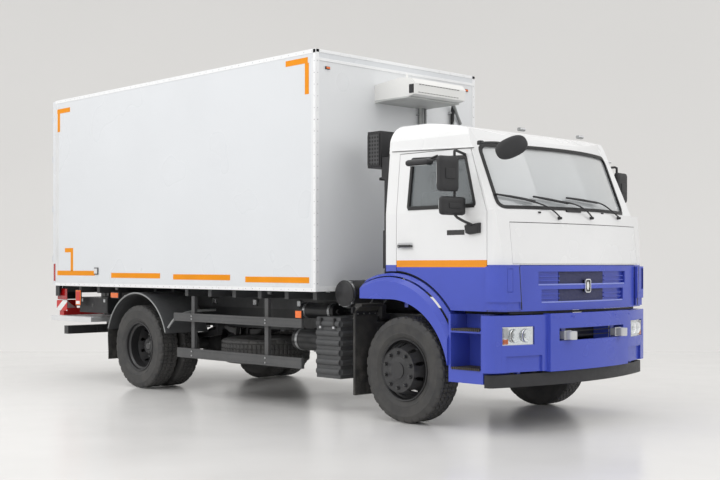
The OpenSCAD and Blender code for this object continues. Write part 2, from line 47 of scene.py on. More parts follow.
# ------------------------------------------------------------------ materials
class NT:
    def __init__(self, name):
        self.m = bpy.data.materials.new(name)
        self.m.use_nodes = True
        self.t = self.m.node_tree
        self.p = self.t.nodes["Principled BSDF"]
        self._c = None

    def n(self, kind, **kw):
        nd = self.t.nodes.new(kind)
        for k, v in kw.items():
            setattr(nd, k, v)
        return nd

    def l(self, a, b):
        self.t.links.new(a, b)

    def co(self):
        if self._c is None:
            self._c = self.n("ShaderNodeTexCoord").outputs["Object"]
        return self._c

    def noise(self, scale, detail=4, rough=0.5, vec=None, dist=0.0):
        nd = self.n("ShaderNodeTexNoise")
        nd.inputs["Scale"].default_value = scale
        nd.inputs["Detail"].default_value = detail
        nd.inputs["Roughness"].default_value = rough
        nd.inputs["Distortion"].default_value = dist
        self.l(vec if vec is not None else self.co(), nd.inputs["Vector"])
        return nd.outputs["Fac"]

    def maprange(self, v, a, b, c, d):
        nd = self.n("ShaderNodeMapRange")
        nd.inputs["From Min"].default_value = a
        nd.inputs["From Max"].default_value = b
        nd.inputs["To Min"].default_value = c
        nd.inputs["To Max"].default_value = d
        self.l(v, nd.inputs["Value"])
        return nd.outputs["Result"]

    def math(self, op, a, b=None, c=None):
        nd = self.n("ShaderNodeMath", operation=op)
        for i, v in enumerate((a, b, c)):
            if v is None:
                continue
            if isinstance(v, (int, float)):
                nd.inputs[i].default_value = v
            else:
                self.l(v, nd.inputs[i])
        return nd.outputs[0]

    def mix(self, f, a, b):
        nd = self.n("ShaderNodeMix", data_type="RGBA")
        if isinstance(f, (int, float)):
            nd.inputs[0].default_value = f
        else:
            self.l(f, nd.inputs[0])
        for i, v in ((6, a), (7, b)):
            if isinstance(v, tuple):
                nd.inputs[i].default_value = (*v[:3], 1)
            else:
                self.l(v, nd.inputs[i])
        return nd.outputs[2]

    def xyz(self):
        s = self.n("ShaderNodeSeparateXYZ")
        self.l(self.co(), s.inputs[0])
        return s.outputs

    def bump(self, h, strength=0.2, dist=0.002, prev=None):
        nd = self.n("ShaderNodeBump")
        nd.inputs["Strength"].default_value = strength
        nd.inputs["Distance"].default_value = dist
        self.l(h, nd.inputs["Height"])
        if prev is not None:
            self.l(prev, nd.inputs["Normal"])
        return nd.outputs[0]


def lin(r, g, b):
    f = lambda c: (c / 255 / 12.92) if c / 255 <= 0.04045 else ((c / 255 + 0.055) / 1.055) ** 2.4
    return (f(r), f(g), f(b))


def paint(name, col, rough=0.3, coat=0.5, metallic=0.0, var=0.04, bump=0.05, scale=3.0, dirt=0.0, dirtcol=(0.25, 0.22, 0.19), grain=180.0, spec=0.5):
    k = NT(name)
    dark = tuple(c * (1 - var * 2) for c in col)
    c = k.mix(k.maprange(k.noise(scale, 5), 0.3, 0.7, 0, 1), dark, col)
    if dirt > 0:
        z = k.xyz()[2]
        low = k.maprange(z, 0.25, 1.3, 1.0, 0.0)
        d = k.math("MULTIPLY", low, k.maprange(k.noise(7.0, 6, 0.65), 0.45, 0.8, 0.0, dirt))
        c = k.mix(d, c, dirtcol)
    k.l(c, k.p.inputs["Base Color"])
    k.p.inputs["Metallic"].default_value = metallic
    fine = bump > 0
    k.l(k.maprange(k.noise(scale * (6 if fine else 0.8), 4 if fine else 2), 0.3, 0.7, max(0.02, rough - 0.05), min(1, rough + 0.07)), k.p.inputs["Roughness"])
    k.p.inputs["Coat Weight"].default_value = coat
    k.p.inputs["Coat Roughness"].default_value = 0.08
    k.p.inputs["Specular IOR Level"].default_value = spec
    if bump > 0:
        k.l(k.bump(k.noise(grain, 3), bump, 0.001), k.p.inputs["Normal"])
    k.m.diffuse_color = (*col, 1)
    return k.m


WHITE = (0.80, 0.805, 0.81)
BLUE = lin(68, 84, 188)
ORANGE = lin(236, 146, 0)
M = {}
M["white"] = paint("cab_white_paint", WHITE, 0.24, 0.0, var=0.015, bump=0)
M["blue"] = paint("cab_blue_paint", BLUE, 0.22, 0.0, var=0.04, bump=0)
M["box"] = paint("box_panel_gelcoat", (0.69, 0.71, 0.735), 0.30, 0.0, var=0.012, bump=0, scale=1.2)
# the front wall's gelcoat is a lighter copy of the box gelcoat: painted light
M["box_front_painted_light"] = paint("box_front_gelcoat_painted_light", (0.74, 0.755, 0.77), 0.32, 0.0, var=0.012, bump=0, scale=1.2)
M["alu"] = paint("anodised_profile", (0.80, 0.81, 0.82), 0.38, 0.0, metallic=0.55, var=0.05, bump=0.08, grain=300)
M["whiteprofile"] = paint("white_edge_profile", (0.84, 0.85, 0.86), 0.3, 0.3, var=0.02, bump=0.04)
M["tape"] = paint("orange_contour_tape", ORANGE, 0.5, 0.0, var=0.05, bump=0.1, grain=420, spec=0.25)
M["frame"] = paint("chassis_black_paint", (0.020, 0.021, 0.023), 0.42, 0.25, var=0.2, bump=0.12, dirt=0.5, dirtcol=(0.07, 0.065, 0.06))
M["grey"] = paint("chassis_grey_paint", (0.055, 0.057, 0.06), 0.5, 0.1, var=0.15, bump=0.12, dirt=0.4, dirtcol=(0.1, 0.095, 0.09))
M["cast"] = paint("cast_iron_dark", (0.035, 0.036, 0.038), 0.6, 0.0, var=0.25, bump=0.4, grain=90, dirt=0.4, dirtcol=(0.08, 0.07, 0.06))
M["plastic"] = paint("grained_black_plastic", (0.018, 0.018, 0.020), 0.48, 0.0, var=0.1, bump=0.35, grain=500)
M["plasticgrey"] = paint("dark_grey_plastic", (0.065, 0.067, 0.07), 0.5, 0.0, var=0.08, bump=0.3, grain=400, dirt=0.3, dirtcol=(0.12, 0.115, 0.11))
M["rubber"] = paint("black_rubber", (0.012, 0.012, 0.013), 0.55, 0.0, var=0.1, bump=0.15, grain=250)
M["flap"] = paint("mud_flap_rubber", (0.035, 0.034, 0.033), 0.7, 0.0, var=0.25, bump=0.2, grain=120, dirt=0.8, dirtcol=(0.13, 0.12, 0.11))
M["wheel"] = paint("wheel_black_enamel", (0.024, 0.024, 0.026), 0.42, 0.12, var=0.1, bump=0.06, dirt=0.25, dirtcol=(0.06, 0.055, 0.05))
M["nut"] = paint("wheel_nut_steel", (0.09, 0.09, 0.092), 0.3, 0.2, metallic=0.6, var=0.2, bump=0.1)
M["steel"] = paint("bright_steel", (0.55, 0.56, 0.57), 0.3, 0.0, metallic=0.9, var=0.1, bump=0.08)
M["silver"] = paint("silver_paint", (0.62, 0.63, 0.64), 0.35, 0.3, metallic=0.4, var=0.05, bump=0.05)
M["black"] = paint("black_gloss", (0.010, 0.010, 0.011), 0.18, 0.5, var=0.1, bump=0.02)
M["interior"] = paint("interior_trim", (0.11, 0.112, 0.118), 0.6, 0.0, var=0.1, bump=0.3, grain=300)
M["liner"] = paint("headliner_grey", (0.42, 0.42, 0.41), 0.8, 0.0, var=0.05, bump=0.3, grain=350)
M["red"] = paint("red_paint", lin(190, 30, 30), 0.35, 0.4, var=0.06, bump=0.04)
M["hose"] = paint("grey_hose", (0.30, 0.31, 0.31), 0.5, 0.0, var=0.1, bump=0.2, grain=150)
M["unit"] = paint("cooling_unit_white", (0.78, 0.78, 0.765), 0.35, 0.35, var=0.02, bump=0.04)
M["unitunder"] = paint("cooling_unit_tray", (0.52, 0.53, 0.52), 0.5, 0.0, var=0.08, bump=0.1)
M["platewhite"] = paint("blank_plate", (0.72, 0.73, 0.74), 0.35, 0.2, var=0.03, bump=0.05)
M["tank"] = paint("brushed_aluminium", (0.55, 0.56, 0.57), 0.33, 0.0, metallic=0.85, var=0.1, bump=0.12, grain=260, dirt=0.3)


def tyre_mat():
    k = NT("tyre_rubber")
    x = k.noise(9, 6, 0.6)
    c = k.mix(k.maprange(x, 0.35, 0.7, 0, 1), (0.032, 0.032, 0.033), (0.066, 0.064, 0.061))
    d = k.maprange(k.noise(3.0, 4), 0.5, 0.75, 0, 0.35)
    c = k.mix(d, c, (0.085, 0.080, 0.074))
    k.l(c, k.p.inputs["Base Color"])
    k.l(k.maprange(x, 0.3, 0.7, 0.55, 0.75), k.p.inputs["Roughness"])
    k.l(k.bump(k.noise(140, 4), 0.25, 0.001), k.p.inputs["Normal"])
    return k.m


M["tyre"] = tyre_mat()


def banded():
    """white above, an orange stripe, blue below; heights in row metres"""
    k = NT("cab_two_tone_paint")
    z = k.xyz()[2]
    up = k.math("GREATER_THAN", z, 1.491)
    top = k.math("GREATER_THAN", z, 1.556)
    var = k.maprange(k.noise(3.0, 5), 0.3, 0.7, 0, 1)
    w = k.mix(var, tuple(c * 0.97 for c in WHITE), WHITE)
    b = k.mix(var, tuple(c * 0.9 for c in BLUE), BLUE)
    o = k.mix(var, tuple(c * 0.93 for c in ORANGE), ORANGE)
    c = k.mix(up, b, k.mix(top, o, w))
    k.l(c, k.p.inputs["Base Color"])
    k.l(k.maprange(k.noise(2.2, 2), 0.3, 0.7, 0.18, 0.26), k.p.inputs["Roughness"])
    return k.m


M["band"] = banded()


def cornerband():
    k = NT("cab_corner_paint")
    z = k.xyz()[2]
    up = k.math("GREATER_THAN", z, 1.512)
    var = k.maprange(k.noise(3.0, 5), 0.3, 0.7, 0, 1)
    w = k.mix(var, tuple(c * 0.97 for c in WHITE), WHITE)
    b = k.mix(var, tuple(c * 0.9 for c in BLUE), BLUE)
    k.l(k.mix(up, b, w), k.p.inputs["Base Color"])
    k.l(k.maprange(k.noise(2.2, 2), 0.3, 0.7, 0.18, 0.26), k.p.inputs["Roughness"])
    k.p.inputs["Coat Weight"].default_value = 0.6
    return k.m


M["corner"] = cornerband()


def glass(name, tint, rough=0.02, alpha=1.0):
    k = NT(name)
    k.p.inputs["Base Color"].default_value = (*tint, 1)
    k.p.inputs["Transmission Weight"].default_value = 1.0
    k.p.inputs["IOR"].default_value = 1.45
    k.l(k.maprange(k.noise(2.5, 3), 0.3, 0.7, rough * 0.4, rough * 1.6), k.p.inputs["Roughness"])
    return k.m


M["glass"] = glass("window_glass_painted_sheen", (0.50, 0.54, 0.56), 0.015)
# only 72% see-through: the rest is the pale grey base colour, a painted sheen
M["glass"].node_tree.nodes["Principled BSDF"].inputs["Transmission Weight"].default_value = 0.72
M["lens"] = glass("clear_lens", (0.93, 0.95, 0.96), 0.03)


def lamp(name, col, rough=0.18):
    k = NT(name)
    wave = k.n("ShaderNodeTexWave")
    wave.inputs["Scale"].default_value = 60
    k.l(k.co(), wave.inputs["Vector"])
    k.l(k.mix(wave.outputs["Fac"], tuple(c * 0.8 for c in col), col), k.p.inputs["Base Color"])
    k.l(k.maprange(k.noise(30, 3), 0.3, 0.7, rough * 0.7, rough * 1.3), k.p.inputs["Roughness"])
    k.p.inputs["Coat Weight"].default_value = 0.8
    k.l(k.bump(wave.outputs["Fac"], 0.25, 0.001), k.p.inputs["Normal"])
    return k.m


M["amber"] = lamp("amber_lens", lin(240, 110, 20))
M["redlamp"] = lamp("red_lens", lin(170, 20, 22))
M["whitelamp"] = lamp("white_lens", (0.75, 0.76, 0.78))
M["reflector"] = paint("lamp_reflector", (0.86, 0.87, 0.88), 0.08, 0.3, metallic=1.0, var=0.04, bump=0.05, grain=40)


def stripes(name, a, b, width, vec=(1, 0, 1)):
    k = NT(name)
    s = k.xyz()
    v = k.math("ADD", k.math("ADD", k.math("MULTIPLY", s[0], vec[0]), k.math("MULTIPLY", s[1], vec[1])), k.math("MULTIPLY", s[2], vec[2]))
    f = k.math("GREATER_THAN", k.math("FRACT", k.math("MULTIPLY", v, 1.0 / width)), 0.5)
    var = k.maprange(k.noise(12, 4), 0.3, 0.7, 0.9, 1.0)
    c = k.mix(f, a, b)
    mul = k.n("ShaderNodeMix", data_type="RGBA", blend_type="MULTIPLY")
    mul.inputs[0].default_value = 1.0
    k.l(c, mul.inputs[6])
    comb = k.n("ShaderNodeCombineColor")
    for i in range(3):
        k.l(var, comb.inputs[i])
    k.l(comb.outputs[0], mul.inputs[7])
    k.l(mul.outputs[2], k.p.inputs["Base Color"])
    k.l(k.maprange(k.noise(60, 3), 0.3, 0.7, 0.28, 0.42), k.p.inputs["Roughness"])
    k.p.inputs["Coat Weight"].default_value = 0.3
    return k.m


M["hazard"] = stripes("red_white_hazard_board", lin(200, 28, 26), (0.82, 0.82, 0.82), 0.20, (0.7, 0.7, 1.0))
M["hazardx"] = stripes("red_white_strip", lin(200, 28, 26), (0.82, 0.82, 0.82), 0.26, (0.0, 0.0, 1.0))


def checker():
    k = NT("checker_plate")
    s = k.xyz()
    a = k.math("SINE", k.math("MULTIPLY", k.math("ADD", s[0], s[1]), 190.0))
    b = k.math("SINE", k.math("MULTIPLY", k.math("SUBTRACT", s[0], s[1]), 190.0))
    h = k.math("MAXIMUM", k.math("MULTIPLY", a, a), k.math("MULTIPLY", b, b))
    var = k.maprange(h, 0.75, 1.0, 0, 1)
    c = k.mix(var, (0.05, 0.05, 0.052), (0.33, 0.32, 0.30))
    k.l(c, k.p.inputs["Base Color"])
    k.l(k.maprange(k.noise(40, 4), 0.3, 0.7, 0.35, 0.6), k.p.inputs["Roughness"])
    k.p.inputs["Metallic"].default_value = 0.5
    k.l(k.bump(var, 0.7, 0.003), k.p.inputs["Normal"])
    return k.m


M["checker"] = checker()


def cloth(name, a, b):
    k = NT(name)
    v = k.n("ShaderNodeTexVoronoi")
    v.inputs["Scale"].default_value = 260
    k.l(k.co(), v.inputs["Vector"])
    c = k.mix(k.maprange(k.noise(22, 5), 0.35, 0.65, 0, 1), a, b)
    k.l(c, k.p.inputs["Base Color"])
    k.p.inputs["Roughness"].default_value = 0.9
    k.p.inputs["Sheen Weight"].default_value = 0.3
    k.l(k.bump(v.outputs["Distance"], 0.5, 0.002), k.p.inputs["Normal"])
    return k.m


M["cloth"] = cloth("seat_cloth", (0.045, 0.05, 0.065), (0.085, 0.09, 0.11))


def comb_mat(name, base, hole, scale):
    k = NT(name)
    s = k.xyz()
    cx = k.n("ShaderNodeCombineXYZ")
    k.l(s[1], cx.inputs[0]); k.l(s[2], cx.inputs[1])
    v = k.n("ShaderNodeTexVoronoi")
    v.inputs["Scale"].default_value = scale
    v.inputs["Randomness"].default_value = 0.0
    k.l(cx.outputs[0], v.inputs["Vector"])
    f = k.maprange(v.outputs["Distance"], 0.30, 0.36, 0, 1)
    k.l(k.mix(f, hole, base), k.p.inputs["Base Color"])
    k.p.inputs["Roughness"].default_value = 0.5
    k.l(k.bump(f, 0.8, 0.004), k.p.inputs["Normal"])
    return k.m


M["comb"] = comb_mat("intake_grille", (0.06, 0.06, 0.063), (0.004, 0.004, 0.004), 26)

M["treadbrown"] = paint("step_tread_brown", (0.11, 0.095, 0.075), 0.6, 0.0, metallic=0.3, var=0.3, bump=0.3, grain=200)
M["guard"] = paint("side_guard_grey", (0.072, 0.073, 0.075), 0.45, 0.15, var=0.1, bump=0.08, dirt=0.3, dirtcol=(0.12, 0.115, 0.11))
M["mirror"] = paint("mirror_glass", (0.80, 0.82, 0.83), 0.03, 0.0, metallic=1.0, var=0.02, bump=0.0)
M["chrome"] = paint("polished_trim", (0.82, 0.83, 0.84), 0.1, 0.2, metallic=1.0, var=0.03, bump=0.02)
# a lighter copy of the cab blue: painted highlight for ledges
M["blue_painted_highlight"] = paint("cab_blue_ledge_painted_highlight", lin(128, 142, 220), 0.3, 0.5, var=0.05, bump=0.02)
M["recess"] = paint("handle_recess", (0.62, 0.63, 0.64), 0.4, 0.3, var=0.03, bump=0.03)


def mesh_mat():
    k = NT("lid_mesh")
    s = k.xyz()
    a = k.math("SINE", k.math("MULTIPLY", s[0], 520.0)); b = k.math("SINE", k.math("MULTIPLY", s[2], 520.0))
    h = k.maprange(k.math("MULTIPLY", a, b), -0.2, 0.5, 0, 1)
    k.l(k.mix(h, (0.035, 0.040, 0.125), (0.012, 0.014, 0.045)), k.p.inputs["Base Color"])
    k.l(k.maprange(k.noise(50, 3), 0.3, 0.7, 0.4, 0.6), k.p.inputs["Roughness"])
    k.l(k.bump(h, 0.5, 0.002), k.p.inputs["Normal"])
    return k.m


M["mesh"] = mesh_mat()


def painted_sheen_screen_mat():
    """the windscreen: mostly a painted pale sheen over a see-through sheet; the sheen is lighter towards the top"""
    k = NT("windscreen_painted_sheen_glass")
    z = k.xyz()[2]
    # base colour is a painted sheen, lighter towards the top
    k.l(k.mix(k.maprange(z, 2.0, 2.65, 0, 1), (0.66, 0.69, 0.71), (0.74, 0.76, 0.77)), k.p.inputs["Base Color"])
    k.p.inputs["Transmission Weight"].default_value = 0.30
    k.p.inputs["IOR"].default_value = 1.45
    k.p.inputs["Coat Weight"].default_value = 0.6
    k.l(k.maprange(k.noise(2.5, 3), 0.3, 0.7, 0.02, 0.05), k.p.inputs["Roughness"])
    return k.m


M["screen"] = painted_sheen_screen_mat()

# ------------------------------------------------------------------ geometry
class MB:
    """many small pieces joined in one mesh"""

    def __init__(self):
        self.v = []; self.f = []; self.mi = []; self.mats = []; self.nv = 0

    def mat(self, m):
        m = M[m] if isinstance(m, str) else m
        if m not in self.mats:
            self.mats.append(m)
        return self.mats.index(m)

    def add(self, v, f, m):
        i = self.mat(m)
        v = np.asarray(v, float)
        self.v.append(v)
        for q in f:
            self.f.append(tuple(int(a) + self.nv for a in q))
            self.mi.append(i)
        self.nv += len(v)
        return self

    def box(self, x0, x1, y0, y1, z0, z1, m, bev=0.0, rot=None):
        """truck millimetres; bev is a chamfer"""
        lo = np.array([min(x0, x1), min(y0, y1), min(z0, z1)], float)
        hi = np.array([max(x0, x1), max(y0, y1), max(z0, z1)], float)
        c = (lo + hi) / 2; h = (hi - lo) / 2
        b = min(bev, h.min() * 0.49)
        if b <= 0:
            s = [(-1, -1, -1), (1, -1, -1), (1, 1, -1), (-1, 1, -1), (-1, -1, 1), (1, -1, 1), (1, 1, 1), (-1, 1, 1)]
            v = np.array(s, float) * h
            f = [(0, 3, 2, 1), (4, 5, 6, 7), (0, 1, 5, 4), (1, 2, 6, 5), (2, 3, 7, 6), (3, 0, 4, 7)]
        else:
            v = []; idx = {}
            for sx in (-1, 1):
                for sy in (-1, 1):
                    for sz in (-1, 1):
                        for ax in range(3):
                            p = np.array([sx, sy, sz], float) * h
                            q = p.copy()
                            for k in range(3):
                                if k != ax:
                                    q[k] -= np.sign(p[k]) * b
                            idx[(sx, sy, sz, ax)] = len(v); v.append(q)
            f = []
            for ax in range(3):
                o = [k for k in range(3) if k != ax]
                for sg in (-1, 1):
                    quad = []
                    for (a, c2) in ((-1, -1), (1, -1), (1, 1), (-1, 1)):
                        s = [0, 0, 0]; s[ax] = sg; s[o[0]] = a; s[o[1]] = c2
                        quad.append(idx[(*s, ax)])
                    if (sg > 0) == (ax == 1):
                        quad.reverse()
                    f.append(tuple(quad))
            for ax in range(3):
                o = [k for k in range(3) if k != ax]
                for a in (-1, 1):
                    for c2 in (-1, 1):
                        def key(t, face):
                            s = [0, 0, 0]; s[ax] = t; s[o[0]] = a; s[o[1]] = c2
                            return idx[(*s, face)]
                        quad = [key(-1, o[0]), key(1, o[0]), key(1, o[1]), key(-1, o[1])]
                        P = [np.array(v[k]) for k in quad]
                        n = np.cross(P[1] - P[0], P[2] - P[0])
                        if n @ (P[0] + P[2]) < 0:
                            quad.reverse()
                        f.append(tuple(quad))
            for sx in (-1, 1):
                for sy in (-1, 1):
                    for sz in (-1, 1):
                        tri = [idx[(sx, sy, sz, k)] for k in range(3)]
                        P = [np.array(v[k]) for k in tri]
                        if np.cross(P[1] - P[0], P[2] - P[0]) @ P[0] < 0:
                            tri.reverse()
                        f.append(tuple(tri))
            v = np.array(v)
        if rot is not None:
            v = v @ np.array(rot).T
        v = v + c
        return self.add(v, f, m)

    def cyl(self, a, b, r, m, n=24, r2=None, cap=True):
        a = np.array(a, float); b = np.array(b, float)
        d = b - a; L = np.linalg.norm(d); d = d / L
        u = np.cross(d, [0, 0, 1.0]) if abs(d[2]) < 0.9 else np.cross(d, [1.0, 0, 0])
        u /= np.linalg.norm(u); w = np.cross(d, u)
        t = np.linspace(0, 2 * np.pi, n, endpoint=False)
        ring = np.outer(np.cos(t), u) + np.outer(np.sin(t), w)
        r2 = r if r2 is None else r2
        v = np.vstack([a + ring * r, b + ring * r2])
        f = [(i, (i + 1) % n, n + (i + 1) % n, n + i) for i in range(n)]
        if cap:
            f.append(tuple(range(n - 1, -1, -1))); f.append(tuple(range(n, 2 * n)))
        return self.add(v, f, m)

    def tube(self, pts, r, m, n=12, smooth=0, closed=False):
        P = [np.array(p, float) for p in pts]
        for _ in range(smooth):
            Q = [P[0]]
            for i in range(len(P) - 1):
                Q.append(P[i] * 0.75 + P[i + 1] * 0.25); Q.append(P[i] * 0.25 + P[i + 1] * 0.75)
            Q.append(P[-1]); P = Q
        P = np.array(P); k = len(P)
        d = np.gradient(P, axis=0)
        d /= np.linalg.norm(d, axis=1)[:, None] + 1e-9
        up = np.array([0, 0, 1.0]) if abs(d[0][2]) < 0.9 else np.array([1.0, 0, 0])
        u = np.cross(d[0], up); u /= np.linalg.norm(u)
        t = np.linspace(0, 2 * np.pi, n, endpoint=False)
        V = []
        for i in range(k):
            u = u - d[i] * (u @ d[i]); u /= np.linalg.norm(u) + 1e-9
            w = np.cross(d[i], u)
            rr = r[i] if hasattr(r, "__len__") else r
            V.append(P[i] + (np.outer(np.cos(t), u) + np.outer(np.sin(t), w)) * rr)
        V = np.vstack(V)
        f = []
        for i in range(k - 1):
            for j in range(n):
                f.append((i * n + j, i * n + (j + 1) % n, (i + 1) * n + (j + 1) % n, (i + 1) * n + j))
        f.append(tuple(range(n - 1, -1, -1))); f.append(tuple(range((k - 1) * n, k * n)))
        return self.add(V, f, m)

    def lathe(self, prof, c, axis, m, n=48, closed=False, rad=None):
        """prof is (radius, along axis); c the centre"""
        prof = np.array(prof, float); k = len(prof)
        ax = "xyz".index(axis)
        t = np.linspace(0, 2 * np.pi, n, endpoint=False)
        V = np.zeros((n * k, 3))
        o = [(1, 2), (2, 0), (0, 1)][ax]
        R = prof[:, 0][None, :] * np.ones((n, 1))
        if rad is not None:
            R = R + rad(t[:, None], prof[:, 1][None, :], R)
        V[:, ax] = np.tile(prof[:, 1], n)
        V[:, o[0]] = (R * np.cos(t)[:, None]).ravel()
        V[:, o[1]] = (R * np.sin(t)[:, None]).ravel()
        V += np.array(c, float)
        f = []
        for i in range(n):
            j = (i + 1) % n
            for q in range(k if closed else k - 1):
                q2 = (q + 1) % k
                f.append((i * k + q, j * k + q, j * k + q2, i * k + q2))
        return self.add(V, f, m)

    def prism(self, poly, axis, a, b, m):
        """poly in the two other axes, in x, y, z order, run along axis from a to b"""
        poly = np.array(poly, float); n = len(poly)
        ax = "xyz".index(axis); o = [k for k in range(3) if k != ax]
        V = np.zeros((2 * n, 3))
        V[:n, o[0]] = poly[:, 0]; V[:n, o[1]] = poly[:, 1]; V[:n, ax] = a
        V[n:, o[0]] = poly[:, 0]; V[n:, o[1]] = poly[:, 1]; V[n:, ax] = b
        f = [(i, (i + 1) % n, n + (i + 1) % n, n + i) for i in range(n)]
        f += [tuple(range(n - 1, -1, -1)), tuple(range(n, 2 * n))]
        return self.add(V, f, m)

    def grid(self, P, m, thick=None):
        """P is (rows, cols, 3); thick closes it as a slab along the given vector"""
        P = np.array(P, float); r, c, _ = P.shape
        V = P.reshape(-1, 3)
        f = [(i * c + j, i * c + j + 1, (i + 1) * c + j + 1, (i + 1) * c + j) for i in range(r - 1) for j in range(c - 1)]
        if thick is None:
            return self.add(V, f, m)
        V2 = V + np.array(thick, float); n = len(V)
        f2 = [tuple(n + k for k in reversed(q)) for q in f]
        rim = []
        for j in range(c - 1):
            rim.append((j, n + j, n + j + 1, j + 1)[::-1])
            k = (r - 1) * c + j
            rim.append((k, k + 1, n + k + 1, n + k)[::-1])
        for i in range(r - 1):
            a = i * c; b2 = (i + 1) * c
            rim.append((a, b2, n + b2, n + a)[::-1])
            a = i * c + c - 1; b2 = (i + 1) * c + c - 1
            rim.append((a, n + a, n + b2, b2)[::-1])
        return self.add(np.vstack([V, V2]), f + f2 + rim, m)

    def mirror(self):
        """adds the mirror image on the other side"""
        v = np.vstack(self.v); w = v.copy(); w[:, 0] *= -1
        f = list(self.f); mi = list(self.mi); n = self.nv
        self.v = [v, w]
        self.f = f + [tuple(n + k for k in reversed(q)) for q in f]
        self.mi = mi + mi
        self.nv = 2 * n
        return self

    def obj(self, name, body, angle=35, recalc=True):
        v = np.vstack(self.v) / 1000.0
        v[:, 1] += OY
        me = bpy.data.meshes.new(name)
        me.from_pydata(v.tolist(), [], self.f)
        for m in self.mats:
            me.materials.append(m)
        me.polygons.foreach_set("material_index", self.mi)
        me.update()
        if recalc:
            bm = bmesh.new(); bm.from_mesh(me)
            bmesh.ops.recalc_face_normals(bm, faces=bm.faces[:])
            bm.to_mesh(me); bm.free()
        me.polygons.foreach_set("use_smooth", [True] * len(me.polygons))
        me.set_sharp_from_angle(angle=math.radians(angle))
        o = bpy.data.objects.new(name, me)
        scn.collection.objects.link(o)
        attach(o, body)
        return o


def setmat(node, m):
    o = NODE[node]
    me = o.data
    me.materials.clear()
    me.materials.append(M[m] if isinstance(m, str) else m)
    me.polygons.foreach_set("use_smooth", [True] * len(me.polygons))
    me.set_sharp_from_angle(angle=math.radians(30))


def bevel(node, w, seg=2, ang=40):
    o = NODE[node]
    b = o.modifiers.new("edge", "BEVEL")
    b.width = w / 1000.0; b.segments = seg; b.limit_method = "ANGLE"; b.angle_limit = math.radians(ang)
    b.use_clamp_overlap = True
    b.harden_normals = False


# ------------------------------------------------------------------ CAD nodes' finishes
FIN = dict(
    frame_rails="frame", frame_crossmembers="frame", body_subframe="grey", engine_block="cast", gearbox="cast",
    propshaft="cast", front_axle="cast", rear_axle="cast", front_springs="frame", rear_springs="frame", steering_knuckle_left="cast",
    steering_knuckle_right="cast", front_wheel_left="wheel", front_wheel_right="wheel", rear_wheels_left="wheel", rear_wheels_right="wheel",
    front_tyre_left="tyre", front_tyre_right="tyre", rear_tyres_left="tyre", rear_tyres_right="tyre", cab_shell="corner", cab_roof="white",
    windscreen="screen", front_panel="white", corner_deflectors="blue", grille_lid="blue", door_left="band", door_right="band",
    door_glass_left="glass", door_glass_right="glass", mirrors_left="plastic", mirrors_right="plastic", seats="cloth", dashboard="interior",
    steering_wheel="plastic", air_intake="plastic", bumper="blue", headlamps="reflector", fender_steps="blue", front_flaps="flap",
    box_floor="whiteprofile", box_walls="box", box_roof="box", box_front_wall="box_front_painted_light", rear_frame="alu", cargo_door_left="box",
    cargo_door_right="box", fridge_unit="unit", battery_box="plasticgrey", air_cleaner="plastic", fuel_tank="tank", air_tanks="frame",
    side_guards="guard", spare_wheel="wheel", rear_mudguards="plasticgrey", tail_lift="frame")
for n, o in NODE.items():
    setmat(n, FIN.get(n, "frame"))


def regions(node, mats, pick):
    """further materials by polygon; pick gets the centre in truck millimetres"""
    me = NODE[node].data
    for m in mats:
        me.materials.append(M[m])
    mw = NODE[node].matrix_world
    for p in me.polygons:
        c = mw @ p.center
        i = pick(c.x * 1000, (c.y - OY) * 1000, c.z * 1000)
        if i:
            p.material_index = i


def bumper_parts(x, y, z):
    if z < 546:
        return 1
    if 834 < z < 906 and abs(abs(x) - 410) < 45.5 and y < -1289:
        return 2
    return 0


regions("bumper", ["plastic", "silver"], bumper_parts)
regions("tail_lift", ["red", "alu"], lambda x, y, z: 1 if 836 < z < 932 and 6285 < y < 6405 else (2 if 768 < z < 832 and y > 5555 else 0))
regions("fridge_unit", ["unitunder", "hose"], lambda x, y, z: 2 if 1060 < y < 1134 and abs(x) > 280 and z < 3262 else (1 if z < 3278 else 0))
for n, w in (("front_panel", 4), ("grille_lid", 6), ("corner_deflectors", 8), ("box_walls", 5), ("box_roof", 5), ("battery_box", 14), ("fuel_tank", 18),
             ("tail_lift", 4), ("side_guards", 4), ("air_intake", 16), ("cargo_door_left", 4), ("cargo_door_right", 4),
             ("rear_frame", 4), ("bumper", 7), ("fender_steps", 7), ("dashboard", 14), ("box_floor", 3), ("engine_block", 10), ("gearbox", 8)):
    bevel(n, w, 3)

# ------------------------------------------------------------------ surfaces the small parts sit on (truck millimetres)
T6 = math.tan(math.radians(6)); C6 = math.cos(math.radians(6)); T22 = math.tan(math.radians(22.2)); C22 = math.cos(math.radians(22.2))


def fy(x, z):
    x = min(abs(x), 1149.0)
    if z <= 2003:
        y = 3895 - math.sqrt(5200 ** 2 - min(x, 1030) ** 2)
        if x > 1030:
            y = -1082 - math.sqrt(max(0.0, 120 ** 2 - (x - 1030) ** 2))
        return max(y, -1305 + (z - 1515) * T6 + (5200 - math.sqrt(5200 ** 2 - x * x)) / C6)
    return -1250 + (z - 2000) * T22 + min(2800 - math.sqrt(2800 ** 2 - x * x), 187) / C22


def by(x):
    x = abs(x)
    if x <= 1130:
        return -1360 + 3650 - math.sqrt(3650 ** 2 - x * x)
    return -1060 - math.sqrt(max(0.0, 120 ** 2 - (x - 1130) ** 2))


def sx(z):
    return 1150 if z < 2000 else 1150 - 86 / 900 * (z - 2000)


def S_front(a, b, o):
    return (a, fy(a, b) - o, b)


def S_bump(a, b, o):
    return (a, by(a) - o, b)


def S_side(s):
    return lambda a, b, o: (s * (sx(b) + o), a, b)


